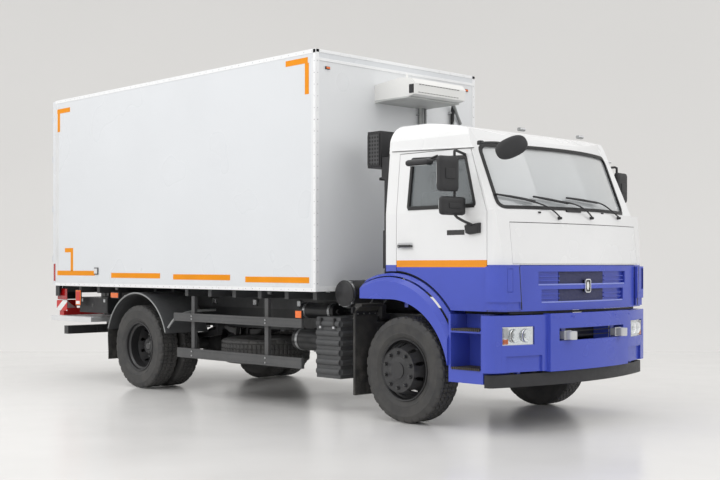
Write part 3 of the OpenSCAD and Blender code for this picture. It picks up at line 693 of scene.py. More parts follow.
def band(mb, surf, a0, a1, b0, b1, lift, thick, m, n=12):
    """a slab that follows a surface"""
    V = []
    for i in range(n + 1):
        a = a0 + (a1 - a0) * i / n
        for (b, o) in ((b0, lift), (b1, lift), (b1, lift - thick), (b0, lift - thick)):
            V.append(surf(a, b, o))
    f = [(4 * i + k, 4 * i + (k + 1) % 4, 4 * i + 4 + (k + 1) % 4, 4 * i + 4 + k) for i in range(n) for k in range(4)]
    f += [(0, 1, 2, 3), (4 * n + 3, 4 * n + 2, 4 * n + 1, 4 * n)]
    return mb.add(V, f, m)


def offset(poly, d):
    P = [np.array(p, float) for p in poly]; n = len(P); out = []
    ar = sum(P[i][0] * P[(i + 1) % n][1] - P[(i + 1) % n][0] * P[i][1] for i in range(n))
    sg = 1 if ar > 0 else -1
    for i in range(n):
        e1 = P[i] - P[i - 1]; e2 = P[(i + 1) % n] - P[i]
        n1 = sg * np.array([e1[1], -e1[0]]) / np.linalg.norm(e1); n2 = sg * np.array([e2[1], -e2[0]]) / np.linalg.norm(e2)
        b = n1 + n2; b = b / (b @ b) * 2
        out.append(P[i] + b * d)
    return out


def rounded(poly, r, counts):
    n = len(poly); out = []
    for i in range(n):
        p0, p, p1 = np.array(poly[i - 1], float), np.array(poly[i], float), np.array(poly[(i + 1) % n], float)
        a = (p0 - p) / np.linalg.norm(p0 - p); b = (p1 - p) / np.linalg.norm(p1 - p)
        h = math.acos(max(-1, min(1, a @ b))) / 2; t = r / math.tan(h)
        s, e = p + a * t, p + b * t
        for k in range(7):
            u = k / 6
            out.append((1 - u) ** 2 * s + 2 * u * (1 - u) * (0.35 * p + 0.65 * (s + e) / 2 if False else p) + u * u * e)
        q1 = np.array(poly[(i + 1) % n], float); q2 = np.array(poly[(i + 2) % n], float)
        a2 = (p - q1) / np.linalg.norm(p - q1); b2 = (q2 - q1) / np.linalg.norm(q2 - q1)
        h2 = math.acos(max(-1, min(1, a2 @ b2))) / 2
        nxt = q1 + a2 * (r / math.tan(h2))
        for k in range(1, counts[i]):
            out.append(e + (nxt - e) * k / counts[i])
    return out


def ring(mb, poly, r, dout, din, surf, lift, depth, m, step=70):
    """a frame strip round an opening"""
    n = len(poly)
    counts = [max(1, int(np.linalg.norm(np.array(poly[(i + 1) % n]) - np.array(poly[i])) / step)) for i in range(n)]
    lo = rounded(offset(poly, dout), r + dout, counts); li = rounded(offset(poly, -din), max(r - din, 3), counts)
    k = len(lo)
    V = [surf(p[0], p[1], lift - depth) for p in lo] + [surf(p[0], p[1], lift) for p in lo] + [surf(p[0], p[1], lift) for p in li] + [surf(p[0], p[1], lift - depth) for p in li]
    f = [(q * k + i, q * k + (i + 1) % k, ((q + 1) % 4) * k + (i + 1) % k, ((q + 1) % 4) * k + i) for q in range(4) for i in range(k)]
    return mb.add(V, f, m)


# ------------------------------------------------------------------ tyres
def tyre(mb, cx, cy, cz, axis="x", R=510, side=1):
    g = []
    for a in (-84, -30, 30, 84):
        g += [(R - 0.5 - abs(a) * 0.03, a - 6, 1), (R - 13, a - 4, 1), (R - 13, a + 4, 1), (R - 0.5 - abs(a) * 0.03, a + 6, 1)]
    prof = [(302, -108, 0), (322, -121, 0), (345, -131, 0), (352, -133.5, 0), (356, -131.5, 0), (400, -137, 0), (440, -136, 0), (444, -137.5, 0), (449, -135.5, 0), (468, -129, 0),
            (488, -123, 2), (500, -117, 2), (505, -108, 2), (R - 2.6, -98, 0)] + g + [(R - 2.6, 98, 0), (505, 108, 2), (500, 117, 2), (488, 123, 2), (468, 129, 0),
            (449, 135.5, 0), (444, 137.5, 0), (440, 136, 0), (400, 137, 0), (356, 131.5, 0), (352, 133.5, 0), (345, 131, 0), (322, 121, 0), (302, 108, 0), (330, 100, 0), (330, -100, 0)]
    n = 248; k = len(prof)
    ax = "xyz".index(axis); o = [(1, 2), (2, 0), (0, 1)][ax]
    V = np.zeros((n * k, 3))
    zig = (0, 1, 0, -1)
    for i in range(n):
        t = 2 * math.pi * i / n
        for q, (r, a, w) in enumerate(prof):
            if w == 1:
                a += 5.5 * zig[i % 4]
                if r > R - 6 and i % 4 == 3:
                    r -= 10
            elif w == 2 and (i % 8) in (0, 1):
                r -= 12
            v = V[i * k + q]
            v[ax] = a; v[o[0]] = r * math.cos(t); v[o[1]] = r * math.sin(t)
    V += np.array([cx, cy, cz], float)
    f = [(i * k + q, ((i + 1) % n) * k + q, ((i + 1) % n) * k + (q + 1) % k, i * k + (q + 1) % k) for i in range(n) for q in range(k)]
    mb.add(V, f, "tyre")


for s, nm in ((1, "left"), (-1, "right")):
    mb = MB(); tyre(mb, s * 1030, 0, 510)
    o = mb.obj("tyre_front_" + nm, "front_wheel_" + nm, 28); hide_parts("front_tyre_" + nm)
    mb = MB(); tyre(mb, s * 768, 4450, 510); tyre(mb, s * 1088, 4450, 510)
    o = mb.obj("tyres_rear_" + nm, "rear_wheels_" + nm, 28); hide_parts("rear_tyres_" + nm)
    # front wheel furniture
    mb = MB()
    for i in range(10):
        a = 2 * math.pi * (i + 0.5) / 10
        y, z = 167.5 * math.cos(a), 510 + 167.5 * math.sin(a)
        mb.cyl((s * 1221, y, z), (s * 1226, y, z), 23, "wheel", 20)
        mb.cyl((s * 1226, y, z), (s * 1236, y, z), 18, "nut", 6)
        mb.cyl((s * 1235, y, z), (s * 1246, y, z), 16, "black", 18, 12)
    mb.lathe([(0, s * 1227), (70, s * 1227), (74, s * 1224.5), (120, s * 1224.5), (124, s * 1222.5), (128, s * 1221)], (0, 0, 510), "x", "wheel", 60)
    mb.lathe([(205, s * 1221), (207, s * 1225), (211, s * 1225), (213, s * 1220)], (0, 0, 510), "x", "wheel", 72)
    mb.tube([(s * 1150, 250, 560), (s * 1168, 246, 560), (s * 1186, 238, 556)], 5, "steel", 8)
    mb.lathe([(292, s * 1146), (299, s * 1149), (302, s * 1146), (301, s * 1140)], (0, 0, 510), "x", "wheel", 96)
    mb.obj("front_wheel_furniture_" + nm, "front_wheel_" + nm)
    mb = MB()
    for i in range(10):
        a = 2 * math.pi * (i + 0.5) / 10
        y, z = 4450 + 167.5 * math.cos(a), 510 + 167.5 * math.sin(a)
        mb.cyl((s * 947, y, z), (s * 953, y, z), 22, "wheel", 20)
        mb.cyl((s * 953, y, z), (s * 975, y, z), 17, "nut", 6)
        mb.cyl((s * 974, y, z), (s * 988, y, z), 10, "steel", 12)
    for i in range(10):
        a = 2 * math.pi * i / 10
        y, z = 4450 + 74 * math.cos(a), 510 + 74 * math.sin(a)
        mb.cyl((s * 1060, y, z), (s * 1068, y, z), 7, "nut", 6)
    mb.lathe([(0, s * 1069), (42, s * 1069), (52, s * 1062)], (0, 4450, 510), "x", "black", 40)
    mb.tube([(s * 960, 4450 + 235, 560), (s * 1040, 4450 + 262, 556), (s * 1120, 4450 + 262, 556)], 5, "steel", 8)
    mb.lathe([(292, s * 1204), (299, s * 1207), (302, s * 1204), (301, s * 1198)], (0, 4450, 510), "x", "wheel", 96)
    mb.obj("rear_wheel_furniture_" + nm, "rear_wheels_" + nm)

mb = MB(); tyre(mb, -640, 2680, 540, "z")
mb.lathe([(302, 540 + 104), (298, 648), (286, 646), (276, 610), (262, 560), (262, 500), (276, 470), (286, 436), (298, 432), (302, 436)], (-640, 2680, 0), "z", "wheel", 96)
mb.lathe([(262, 574), (240, 566), (212, 540), (130, 530), (96, 530), (96, 518), (130, 518), (220, 526), (262, 560)], (-640, 2680, 0), "z", "wheel", 96)
for i in range(10):
    a = 2 * math.pi * i / 10
    mb.cyl((-640 + 167.5 * math.cos(a), 2680 + 167.5 * math.sin(a), 529), (-640 + 167.5 * math.cos(a), 2680 + 167.5 * math.sin(a), 533), 13, "black", 16)
mb.cyl((-640, 2680, 500), (-640, 2680, 830), 15, "steel", 14)
mb.cyl((-640, 2680, 532), (-640, 2680, 560), 60, "frame", 24)
o = mb.obj("spare_wheel_detail", "chassis", 28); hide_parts("spare_wheel")

# ------------------------------------------------------------------ cab front
mb = MB()
SCREEN = [(-1006, 2030), (1006, 2030), (1006, 2618), (-1006, 2618)]
ring(mb, SCREEN, 85, 10, 22, S_front, 6, 26, "rubber", 55)
band(mb, S_front, -1003, 1003, 1891.5, 1897.5, 1.0, 8, "black", 40)
band(mb, S_front, -1004, 1004, 1514, 1521, -4, 10, "black", 40)
for (p, e, a, b) in (((-380, 1943), (-559, 2068), (-1000, 2150), (-619, 2096)), ((113, 1957), (-116, 2085), (-617, 2138), (-206, 2086)), ((631, 1973), (343, 2113), (-196, 2141), (300, 2111))):
    P = lambda q, o: (q[0], fy(q[0], q[1]) - o, q[1])
    mb.cyl(P(p, -4), P(p, 34), 15, "plastic", 20, 12)
    mid = ((a[0] + b[0]) / 2, (a[1] + b[1]) / 2)
    mb.tube([P(p, 28), P(((p[0] + e[0]) / 2, (p[1] + e[1]) / 2), 60), P(e, 42), P(mid, 34)], 7, "plastic", 10, 2)
    mb.tube([P((e[0] + 6, e[1] - 10), 46), P((mid[0] + 6, mid[1] - 6), 36)], 4, "plastic", 8)
    n = 14
    mb.tube([P((a[0] + (b[0] - a[0]) * i / n, a[1] + (b[1] - a[1]) * i / n), 16) for i in range(n + 1)], 8, "rubber", 8)
    mb.tube([P((a[0] + (b[0] - a[0]) * i / n, a[1] + (b[1] - a[1]) * i / n), 24) for i in range(n + 1)], [8 + 4 * math.sin(math.pi * i / n) for i in range(n + 1)], "plastic", 8)
for (x, z) in ((-635, 1990), (354, 2008)):
    mb.box(x - 14, x + 14, fy(x, z) - 16, fy(x, z) + 6, z - 8, z + 8, "plastic", 4)
band(mb, S_front, -250, -45, 2004, 2026, 18, 24, "plastic", 6)
# front close-view mirror: an oval head on an arm
c = np.array([-1062.0, -1236.0, 2552.0]); u = np.array([0.66, -0.62, 0.42]); w = np.array([-0.1, 0.3, 0.95]); w -= u * (u @ w); u /= np.linalg.norm(u); w /= np.linalg.norm(w); d = -np.cross(u, w)
V = []; F = []; nn = 36; rows = ((0.0, -30), (0.45, -30), (0.78, -24), (0.95, -12), (1.0, 4), (0.96, 14), (0.90, 17), (0.0, 17))
for (k, h) in rows:
    for i in range(nn):
        t = 2 * math.pi * i / nn
        V.append(c + u * 148 * k * math.copysign(abs(math.cos(t)) ** 0.8, math.cos(t)) + w * 92 * k * math.copysign(abs(math.sin(t)) ** 0.8, math.sin(t)) + d * h)
F = [(q * nn + i, q * nn + (i + 1) % nn, (q + 1) * nn + (i + 1) % nn, (q + 1) * nn + i) for q in range(len(rows) - 1) for i in range(nn)]
mb.add(V, F, "plastic")
mb.add([c + u * 124 * math.cos(2 * math.pi * i / nn) + w * 72 * math.sin(2 * math.pi * i / nn) + d * 18.5 for i in range(nn)] + [c + u * 124 * math.cos(2 * math.pi * i / nn) + w * 72 * math.sin(2 * math.pi * i / nn) + d * 17 for i in range(nn)],
       [tuple(range(nn)), tuple(range(2 * nn - 1, nn - 1, -1))] + [(i, (i + 1) % nn, nn + (i + 1) % nn, nn + i) for i in range(nn)], "mirror")
mb.tube([(-1100, -880, 2606), (-1102, -960, 2612), (-1086, -1120, 2600), (-1066, -1220, 2566)], 11, "plastic", 12, 2)
mb.box(-1118, -1066, -930, -880, 2596, 2634, "plastic", 8)
# roof lamp and marker lamps
for x in (-470, 470):
    mb.box(x - 45, x + 45, -905, -865, 2770, 2804, "hose", 8)
    mb.box(x - 38, x + 38, -910, -902, 2784, 2800, "whitelamp", 3)
# drip rails, rear edge seals, roof seam
for s in (-1, 1):
    mb.tube([(s * (sx(2579) + 4), -836, 2583), (s * (sx(2590) + 5), -500, 2594), (s * (sx(2610) + 5), 0, 2612), (s * (sx(2616) + 4), 200, 2618)], 8, "white", 10, 1)
    mb.tube([(s * (sx(2579) + 6), -836, 2574), (s * (sx(2590) + 6), -500, 2585), (s * (sx(2610) + 6), 0, 2603), (s * (sx(2616) + 6), 200, 2609)], 3, "black", 8, 1)
    mb.tube([(s * 1146, 241, 1250), (s * 1148, 241, 1500), (s * 1148, 241, 2000), (s * (sx(2300) - 2), 241, 2300), (s * (sx(2590) - 3), 241, 2590)], 8, "rubber", 10)
    # door opening seal
    mb.tube([(s * 1125, 93, 1530), (s * 1128, 93, 2000), (s * (sx(2560) - 14), 93, 2560)], 4, "rubber", 8)
    # deflector slot: on the +x side a black strip, painted shade in the air inlet; on the -x side the same strip is
    # blue
    V = []
    for i in range(7):
        x = 1043 + 54 * i / 6
        y = -1082 - math.sqrt(max(0, (131 if s > 0 else 153) ** 2 - (x - 1030) ** 2))
        for z in (1274, 1474):
            V.append((s * x, y, z)); V.append((s * x, y + 4, z))
    F = [(4 * i, 4 * i + 2, 4 * i + 6, 4 * i + 4) for i in range(6)] + [(4 * i + 1, 4 * i + 5, 4 * i + 7, 4 * i + 3) for i in range(6)] + [(0, 1, 3, 2), (24, 26, 27, 25)] + [(4 * i, 4 * i + 4, 4 * i + 5, 4 * i + 1) for i in range(6)] + [(4 * i + 2, 4 * i + 3, 4 * i + 7, 4 * i + 6) for i in range(6)]
    mb.add(V, F, "black" if s > 0 else "blue")
# lower rear corner trims and a black sill behind the bumper's top edge
band(mb, S_front, -1000, 1000, 1070, 1090, -42, 8, "plastic", 30)
for s in (-1, 1):
    band(mb, S_front, s * 921, s * 929, 1100, 1508, 0.5, 12, "black", 2)
    band(mb, S_side(s), -1039, -1032, 1100, 1508, 1.0, 6, "black", 2)
    for x in (1104,):
        mb.tube([(s * x, 150 + 949 * math.cos(math.radians(84.5 + 55 * i / 24)), 500 + 949 * math.sin(math.radians(84.5 + 55 * i / 24))) for i in range(25)], 11, "rubber", 10)
for s in (-1, 1):
    # black strip on each deflector along its inner edge: painted shadow of the step to the lid
    P = []
    for i in range(13):
        z = 1112 + 384 * i / 12
        x = 934 + 28 * i / 12
        P.append([(s * x, fy(x, min(z, 1500)) - 36, z), (s * (x + 7), fy(x + 7, min(z, 1500)) - 36, z)])
    mb.grid(np.array(P), "black", (0, 6, 0))
    P = [[(s * 1084, 150 + 950 * math.cos(math.radians(84.5 + 56 * i / 32)), 500 + 950 * math.sin(math.radians(84.5 + 56 * i / 32))),
          (s * 1147, 150 + 950 * math.cos(math.radians(84.5 + 56 * i / 32)), 500 + 950 * math.sin(math.radians(84.5 + 56 * i / 32)))] for i in range(33)]
    mb.grid(np.array(P), "rubber", (0, 0, 5))
mb.obj("cab_front_details", "cab")

# lid: dark mesh inserts, ledges in a lighter blue as a painted highlight, and a plain ring emblem
mb = MB()
for (z0, z1) in ((1329, 1449), (1169, 1287)):
    band(mb, S_front, -400, 300, z0, z1, -27.5, 3, "mesh", 20)
    for k in (0.33, 0.66):
        z = z0 + (z1 - z0) * k
        w = 690 if z0 > 1300 else 650
        band(mb, S_front, -w, -404, z - 4, z + 4, -12, 16, "blue", 10)
        band(mb, S_front, 304, w, z - 4, z + 4, -12, 16, "blue", 12)
    # pocket ledge in the lighter blue: painted highlight
    band(mb, S_front, -698 if z0 > 1300 else -658, 698 if z0 > 1300 else 658, z0 - 3, z0 + 10, -3, 28, "blue_painted_highlight", 24)
ring(mb, [(-52, 1252), (38, 1252), (38, 1380), (-52, 1380)], 26, 0, 9, S_front, 12, 16, "chrome", 40)
V = []; nn = 40
for o in (9, 3):
    for i in range(nn):
        a = 2 * math.pi * i / nn
        x, z = -7 + 20 * math.cos(a), 1316 + 40 * math.sin(a)
        V.append((x, fy(x, z) - o, z))
mb.add(V, [tuple(range(nn)), tuple(range(2 * nn - 1, nn - 1, -1))] + [(i, (i + 1) % nn, nn + (i + 1) % nn, nn + i) for i in range(nn)], "chrome")
band(mb, S_front, -42, 28, 1262, 1370, 2, 30, "black", 6)
mb.obj("lid_details", "grille_lid")

def rbox(mb, c, size, r, rz, m, n=11):
    """a box with rounded corners, turned about z"""
    h = np.array(size, float) / 2
    V = []; F = []
    t = np.tan(np.linspace(-math.pi / 4, math.pi / 4, n))
    for ax in range(3):
        o = [k for k in range(3) if k != ax]
        for sg in (-1, 1):
            base = len(V)
            for a in t:
                for b in t:
                    p = np.zeros(3); p[ax] = sg; p[o[0]] = a; p[o[1]] = b
                    q = p * h; rr = min(r, h.min() * 0.98)
                    core = np.clip(q, -(h - rr), h - rr)
                    d = q - core; L = np.linalg.norm(d)
                    V.append(core + d / L * rr if L > 1e-9 else q)
            for i in range(n - 1):
                for j in range(n - 1):
                    F.append((base + i * n + j, base + i * n + j + 1, base + (i + 1) * n + j + 1, base + (i + 1) * n + j))
    V = np.array(V); ca, sa = math.cos(rz), math.sin(rz)
    V = V @ np.array([[ca, sa, 0], [-sa, ca, 0], [0, 0, 1]]) + np.array(c, float)
    return mb.add(V, F, m)


def mirror_set(s, nm):
    mb = MB()
    a = math.radians(8) * s
    for (cx, cz, w, h) in ((1382, 2328, 236, 318), (1320, 2042, 290, 168)):
        rbox(mb, (s * cx, -768, cz), (w, 64, h), 30, a, "plastic", 15)
        rbox(mb, (s * cx + 4 * s, -800, cz), (w * 0.45, 18, h * 0.30), 8, a, "plastic", 7)
    mb.tube([(s * 1112, -740, 2520), (s * 1180, -752, 2530), (s * 1298, -775, 2546), (s * 1298, -775, 2500), (s * 1298, -775, 1990), (s * 1292, -780, 1948), (s * 1240, -830, 1905), (s * 1180, -876, 1874)], 12.5, "plastic", 14, 1)
    for z in (2400, 2260, 2080, 2004):
        mb.cyl((s * 1298, -775, z - 14), (s * 1298, -775, z + 14), 19, "plastic", 18)
    P = [(-960, 1890), (-784, 1868), (-800, 1800), (-840, 1786), (-958, 1800)]
    mb.prism(P, "x", s * 1151, s * 1176, "plastic")
    rbox(mb, (s * 1172, -872, 1838), (22, 150, 84), 10, 0, "plastic", 9)
    if s < 0:
        mb.tube([(-1112, -400, 2530), (-1200, -400, 2500), (-1300, -400, 2470)], 11, "plastic", 12, 1)
        rbox(mb, (-1300, -345, 2458), (100, 290, 60), 29, 0, "plastic", 15)
    o = mb.obj("mirror_housings_" + nm, "door_" + nm, 50)
    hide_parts("mirrors_" + nm)


mirror_set(1, "left"); mirror_set(-1, "right")

# ------------------------------------------------------------------ doors
WIN = [(-892, 2046), (-742, 2506), (-66, 2524), (-52, 2046)]
for s, nm in ((1, "left"), (-1, "right")):
    mb = MB()
    ring(mb, WIN, 26, 9, 20, S_side(s), 4, 28, "rubber", 60)
    band(mb, S_side(s), -880, -60, 2030, 2040, 6, 10, "rubber", 12)
    # handle in a pale recess with a round lock
    ring(mb, [(-132, 1654), (84, 1654), (84, 1730), (-132, 1730)], 24, 0, 7, S_side(s), 1.5, 6, "white", 40)
    band(mb, S_side(s), -126, 78, 1660, 1724, 0.8, 4, "recess", 6)
    mb.box(s * 1172, s * 1190, -122, 30, 1678, 1704, "black", 6)
    for y in (-112, 18):
        mb.box(s * 1148, s * 1184, y - 9, y + 9, 1681, 1701, "black", 4)
    mb.cyl((s * 1148, 60, 1691), (s * 1160, 60, 1691), 16, "black", 24, 14)
    mb.cyl((s * 1159, 60, 1691), (s * 1162, 60, 1691), 7, "steel", 16)
    # blank strip
    band(mb, S_side(s), -766, -556, 1786, 1831, 3, 6, "black", 4)
    # inside: trim, armrest, winder
    mb.box(s * 1078, s * 1086, -860, 60, 1600, 2020, "interior", 4)
    mb.box(s * 1030, s * 1080, -560, -60, 1780, 1830, "interior", 14)
    mb.cyl((s * 1082, -640, 1760), (s * 1060, -640, 1760), 18, "plastic", 16)
    mb.tube([(s * 1060, -640, 1760), (s * 1052, -600, 1720)], 8, "plastic", 8)
    # mirror glass on the rear faces
    for (cx, cz, w, h) in ((1382, 2328, 104, 144), (1320, 2042, 134, 68)):
        a = math.radians(8 * s); ca, sa = math.cos(a), math.sin(a)
        C = np.array([s * cx, -768, cz]); U = np.array([ca, sa, 0]); N = np.array([-sa, ca, 0]); Wv = np.array([0, 0, 1.0])
        nn = 32; V = []
        for h0 in (32.5, 29):
            for i in range(nn):
                t = 2 * math.pi * i / nn
                e = 0.32
                x = w * abs(math.cos(t)) ** e * (1 if math.cos(t) >= 0 else -1); z = h * abs(math.sin(t)) ** e * (1 if math.sin(t) >= 0 else -1)
                V.append(C + U * x + Wv * z + N * h0)
        mb.add(V, [tuple(range(nn)), tuple(range(2 * nn - 1, nn - 1, -1))] + [(i, (i + 1) % nn, nn + (i + 1) % nn, nn + i) for i in range(nn)], "mirror")
    if s < 0:
        mb.box(-1344, -1256, -484, -206, 2425, 2428, "mirror", 1)
    mb.obj("door_details_" + nm, "door_" + nm)

# ------------------------------------------------------------------ bumper, lamps, steps
mb = MB()
for s in (-1, 1):
    a0, a1 = (790, 1115) if s > 0 else (-1115, -790)
    band(mb, S_bump, a0, a1, 805, 953, -3, 3, "lens", 12)
    for x in (872, 998):
        X = s * x; Y = by(X) + 13.5
        mb.lathe([(60, Y - 5), (57, Y - 7), (52, Y - 5), (40, Y - 1.5), (24, Y - 0.6), (0, Y - 0.4)], (X, 0, 880), "y", "reflector", 40)
        mb.lathe([(0, Y - 5.5), (14, Y - 5), (18, Y - 1)], (X, 0, 880), "y", "lens", 24)
    band(mb, S_bump, s * 1062, s * 1108, 806, 852, -5, 8, "amber", 4)
    band(mb, S_bump, s * 1062, s * 1108, 858, 950, -5, 8, "whitelamp", 4)
    # lighter blue strip under the lamps: painted highlight on the ledge
    band(mb, S_bump, s * 787, s * 1118, 789, 799, -1, 20, "blue_painted_highlight", 10)
    # shackle loops on the forks
    mb.cyl((s * 410, -1422, 905), (s * 410, -1422, 907), 30, "steel", 28)
    # a tiny black disc at the fog lamp's place in the lower corner
    mb.cyl((s * 900, by(900) + 16, 626), (s * 900, by(900) + 24, 626), 1, "black", 8)
# shackle collars are open rings, so the bore stays clear
mb2 = MB()
for s in (-1, 1):
    mb2.lathe([(18, 905.5), (18, 909), (38, 909), (42, 905.5)], (s * 410, -1422, 0), "z", "silver", 40)
    mb2.lathe([(18, 834.5), (18, 831), (38, 831), (42, 834.5)], (s * 410, -1422, 0), "z", "silver", 40)
    mb2.box(s * 410 - 52, s * 410 + 52, -1374, -1366, 828, 912, "silver", 3)
mb2.obj("fork_collars", "chassis")
# slim bolts across the middle
for x in (-560, -340, 340, 560):
    mb.cyl((x, -1396, 1040), (x, -1401, 1040), 9, "blue", 12)
# first bar of the centre opening
for z in (858, 900):
    mb.box(-350, 350, -1316, -1302, z - 4, z + 4, "plastic", 3)
# step treads, lights, fender repeater
for s in (-1, 1):
    for (z, x0) in ((575, 968), (925, 1008)):
        mb.box(s * x0, s * 1232, -1012, -674, z + 1, z + 5, "checker", 1)
        mb.box(s * 1206, s * 1232, -1014, -672, z - 4, z + 6, "plastic", 2)
        for q in range(15):
            y = -1010 + q * 22.4
            mb.box(s * 1206, s * 1240, y, y + 13, z - 8, z + 14, "treadbrown", 3)
            mb.box(s * (x0 + 6), s * 1200, y, y + 13, z + 4, z + 12, "treadbrown", 3)
    mb.box(s * 1190, s * 1222, 634, 640, 1042, 1088, "amber", 3)
    mb.box(s * 1180, s * 1232, 620, 636, 1034, 1094, "plastic", 4)
    # flap stiffener and fixing bolts
    mb.box(s * 905, s * 1195, 604, 611, 1010, 1046, "frame", 2)
    for x in (930, 1010, 1090, 1170):
        mb.cyl((s * x, 604, 1028), (s * x, 598, 1028), 8, "steel", 8)
mb.obj("bumper_and_step_details", "chassis")
mb = MB()
for s in (-1, 1):
    mb.box(s * 1149, s * 1156, 120, 200, 1238, 1286, "recess", 3)
    mb.box(s * 1153, s * 1162, 60, 104, 1246, 1282, "amber", 3)
mb.obj("cab_repeaters", "cab")

# ------------------------------------------------------------------ chassis
mb = MB()
# battery box ribs and latches
for k in range(7):
    z = 410 + k * 82
    if k < 6:
        mb.cyl((-1086, 938, 418 + k * 98), (-1086, 1282, 418 + k * 98), 36, "plasticgrey", 28)
        mb.cyl((-1090, 942, 418 + k * 98), (-470, 942, 418 + k * 98), 32, "plasticgrey", 28)
for y in (1010, 1210):
    mb.box(-1126, -1100, y - 12, y + 12, 880, 968, "rubber", 3)
    mb.box(-1130, -1106, y - 16, y + 16, 860, 884, "steel", 2)
# air cleaner: cap with a clamp, pipe fitting
mb.lathe([(0, -1064), (40, -1064), (52, -1058), (112, -1056), (126, -1050), (134, -1040)], (0, 930, 1222), "x", "plastic", 56)
for x in (-1030, -760, -560):
    mb.lathe([(134, x - 10), (138, x - 10), (138, x + 10), (134, x + 10)], (0, 930, 1222), "x", "steel", 56)
for a in (0.6, 2.2, 3.9, 5.3):
    y, z = 930 + 138 * math.cos(a), 1222 + 138 * math.sin(a)
    mb.box(-1044, -1014, y - 9, y + 9, z - 9, z + 9, "steel", 3)
mb.tube([(-930, 870, 1100), (-960, 820, 1060), (-990, 800, 1010), (-1000, 830, 960)], 20, "hose", 14, 2)
# fuel tank straps and cap
for y in (1300, 1850):
    mb.box(474, 1088, y - 25, y + 25, 424, 430, "steel", 1)
    mb.box(1080, 1087, y - 25, y + 25, 426, 962, "steel", 1)
    mb.box(476, 1086, y - 25, y + 25, 960, 966, "steel", 1)
mb.cyl((960, 1250, 960), (960, 1250, 1000), 44, "plastic", 30)
mb.lathe([(0, 1008), (40, 1008), (50, 1000), (50, 984)], (960, 1250, 0), "z", "black", 30)
# tank bands and drain cocks
for (x, z, r, y0, y1) in ((-760, 700, 118, 1450, 1950), (-620, 1010, 85, 1480, 2020)):
    for y in (y0 + 70, y1 - 70):
        mb.lathe([(r, y - 16), (r + 4, y - 16), (r + 4, y + 16), (r, y + 16)], (x, 0, z), "y", "steel", 48)
    mb.lathe([(0, y0 - 14), (24, y0 - 13), (30, y0 - 6), (32, y0 + 2)], (x, 0, z), "y", "frame", 24)
    mb.cyl((x, (y0 + y1) / 2, z - r - 14), (x, (y0 + y1) / 2, z - r + 4), 9, "steel", 12)
# side guard lamps, rail strips and bolts
for s in (-1, 1):
    mb.box(s * 1188, s * 1214, 1396, 1500, 948, 1040, "plastic", 4)
    mb.box(s * 1212, s * 1222, 1402, 1494, 960, 1034, "amber", 3)
    for (z0, z1, y0, y1) in ((856, 950, 1400, 3690), (432, 542, 1400, 3620)):
        for z in (z0 + 24, z1 - 24):
            mb.box(s * 1214.5, s * 1217, y0 + 4, y1 - 4, z - 3, z + 3, "plasticgrey", 1)
        for y in (1990, 3330):
            for z in (z0 + 30, z1 - 30):
                mb.cyl((s * 1214, y, z), (s * 1222, y, z), 10, "steel", 8)
    # mudguard rims, stays and rear flaps
    for x in (630, 1243):
        pts = []
        for i in range(41):
            a = math.radians(18 + 144 * i / 40)
            pts.append((s * x, 4450 + 659 * math.cos(a), 510 + 659 * math.sin(a)))
        mb.tube(pts, 9, "hose", 8)
    mb.tube([(s * 1200, 3830, 760), (s * 1120, 3780, 900), (s * 900, 3770, 960), (s * 520, 3800, 960)], 14, "hose", 12, 2)
    mb.tube([(s * 1200, 5070, 760), (s * 1120, 5120, 900), (s * 900, 5130, 940), (s * 520, 5100, 940)], 14, "frame", 12, 2)
    P = np.zeros((12, 8, 3))
    for i in range(12):
        for j in range(8):
            z = 720 - 400 * i / 11; x = 640 + 590 * j / 7
            P[i, j] = (s * x, 5095 + 6 * math.sin(i * 0.5) + 3 * math.sin(j * 1.1), z)
    mb.grid(P, "flap", (0, 8, 0))
    # spring U bolts, shock absorbers
    for (y, x, z0, z1) in ((0, 410, 380, 640), (4450, 500, 330, 760)):
        for dy in (-70, 70):
            for dx in (-46, 46):
                mb.cyl((s * (x + dx), y + dy, z0), (s * (x + dx), y + dy, z1), 10, "frame", 10)
                mb.cyl((s * (x + dx), y + dy, z0 - 6), (s * (x + dx), y + dy, z0 + 14), 17, "nut", 6)
        mb.cyl((s * (x - 110), y + 120, z0 - 20), (s * (x - 90), y + 60, z1 + 120), 30, "frame", 20)
# air lines along the rails
mb.lathe([(0, 1250), (150, 1255), (176, 1275), (180, 1300), (180, 1800), (176, 1825), (150, 1845), (0, 1850)], (120, 0, 620), "y", "steel", 48) if False else None
for s in (-1, 1):
    mb.tube([(s * 395, 400, 905), (s * 392, 1600, 900), (s * 392, 3000, 905), (s * 392, 4100, 900)], 8, "rubber", 8, 1)
    mb.tube([(s * 400, 400, 880), (s * 398, 1600, 876), (s * 398, 3000, 880), (s * 398, 4100, 876)], 6, "hose", 8, 1)
    # cross bearers' bolts on the body mounting
    for y in (1500, 2300, 3100, 3900, 5200, 5900):
        mb.box(s * 395, s * 470, y - 30, y + 30, 1040, 1100, "steel", 3)
        for dy in (-16, 16):
            mb.cyl((s * 440, y + dy, 1030), (s * 440, y + dy, 1110), 8, "nut", 8)
# engine block ribs
for k in range(5):
    mb.box(-300 if False else -250, 250, -300 + k * 150, -286 + k * 150, 1120, 1132, "cast", 3)
mb.obj("chassis_details", "chassis")

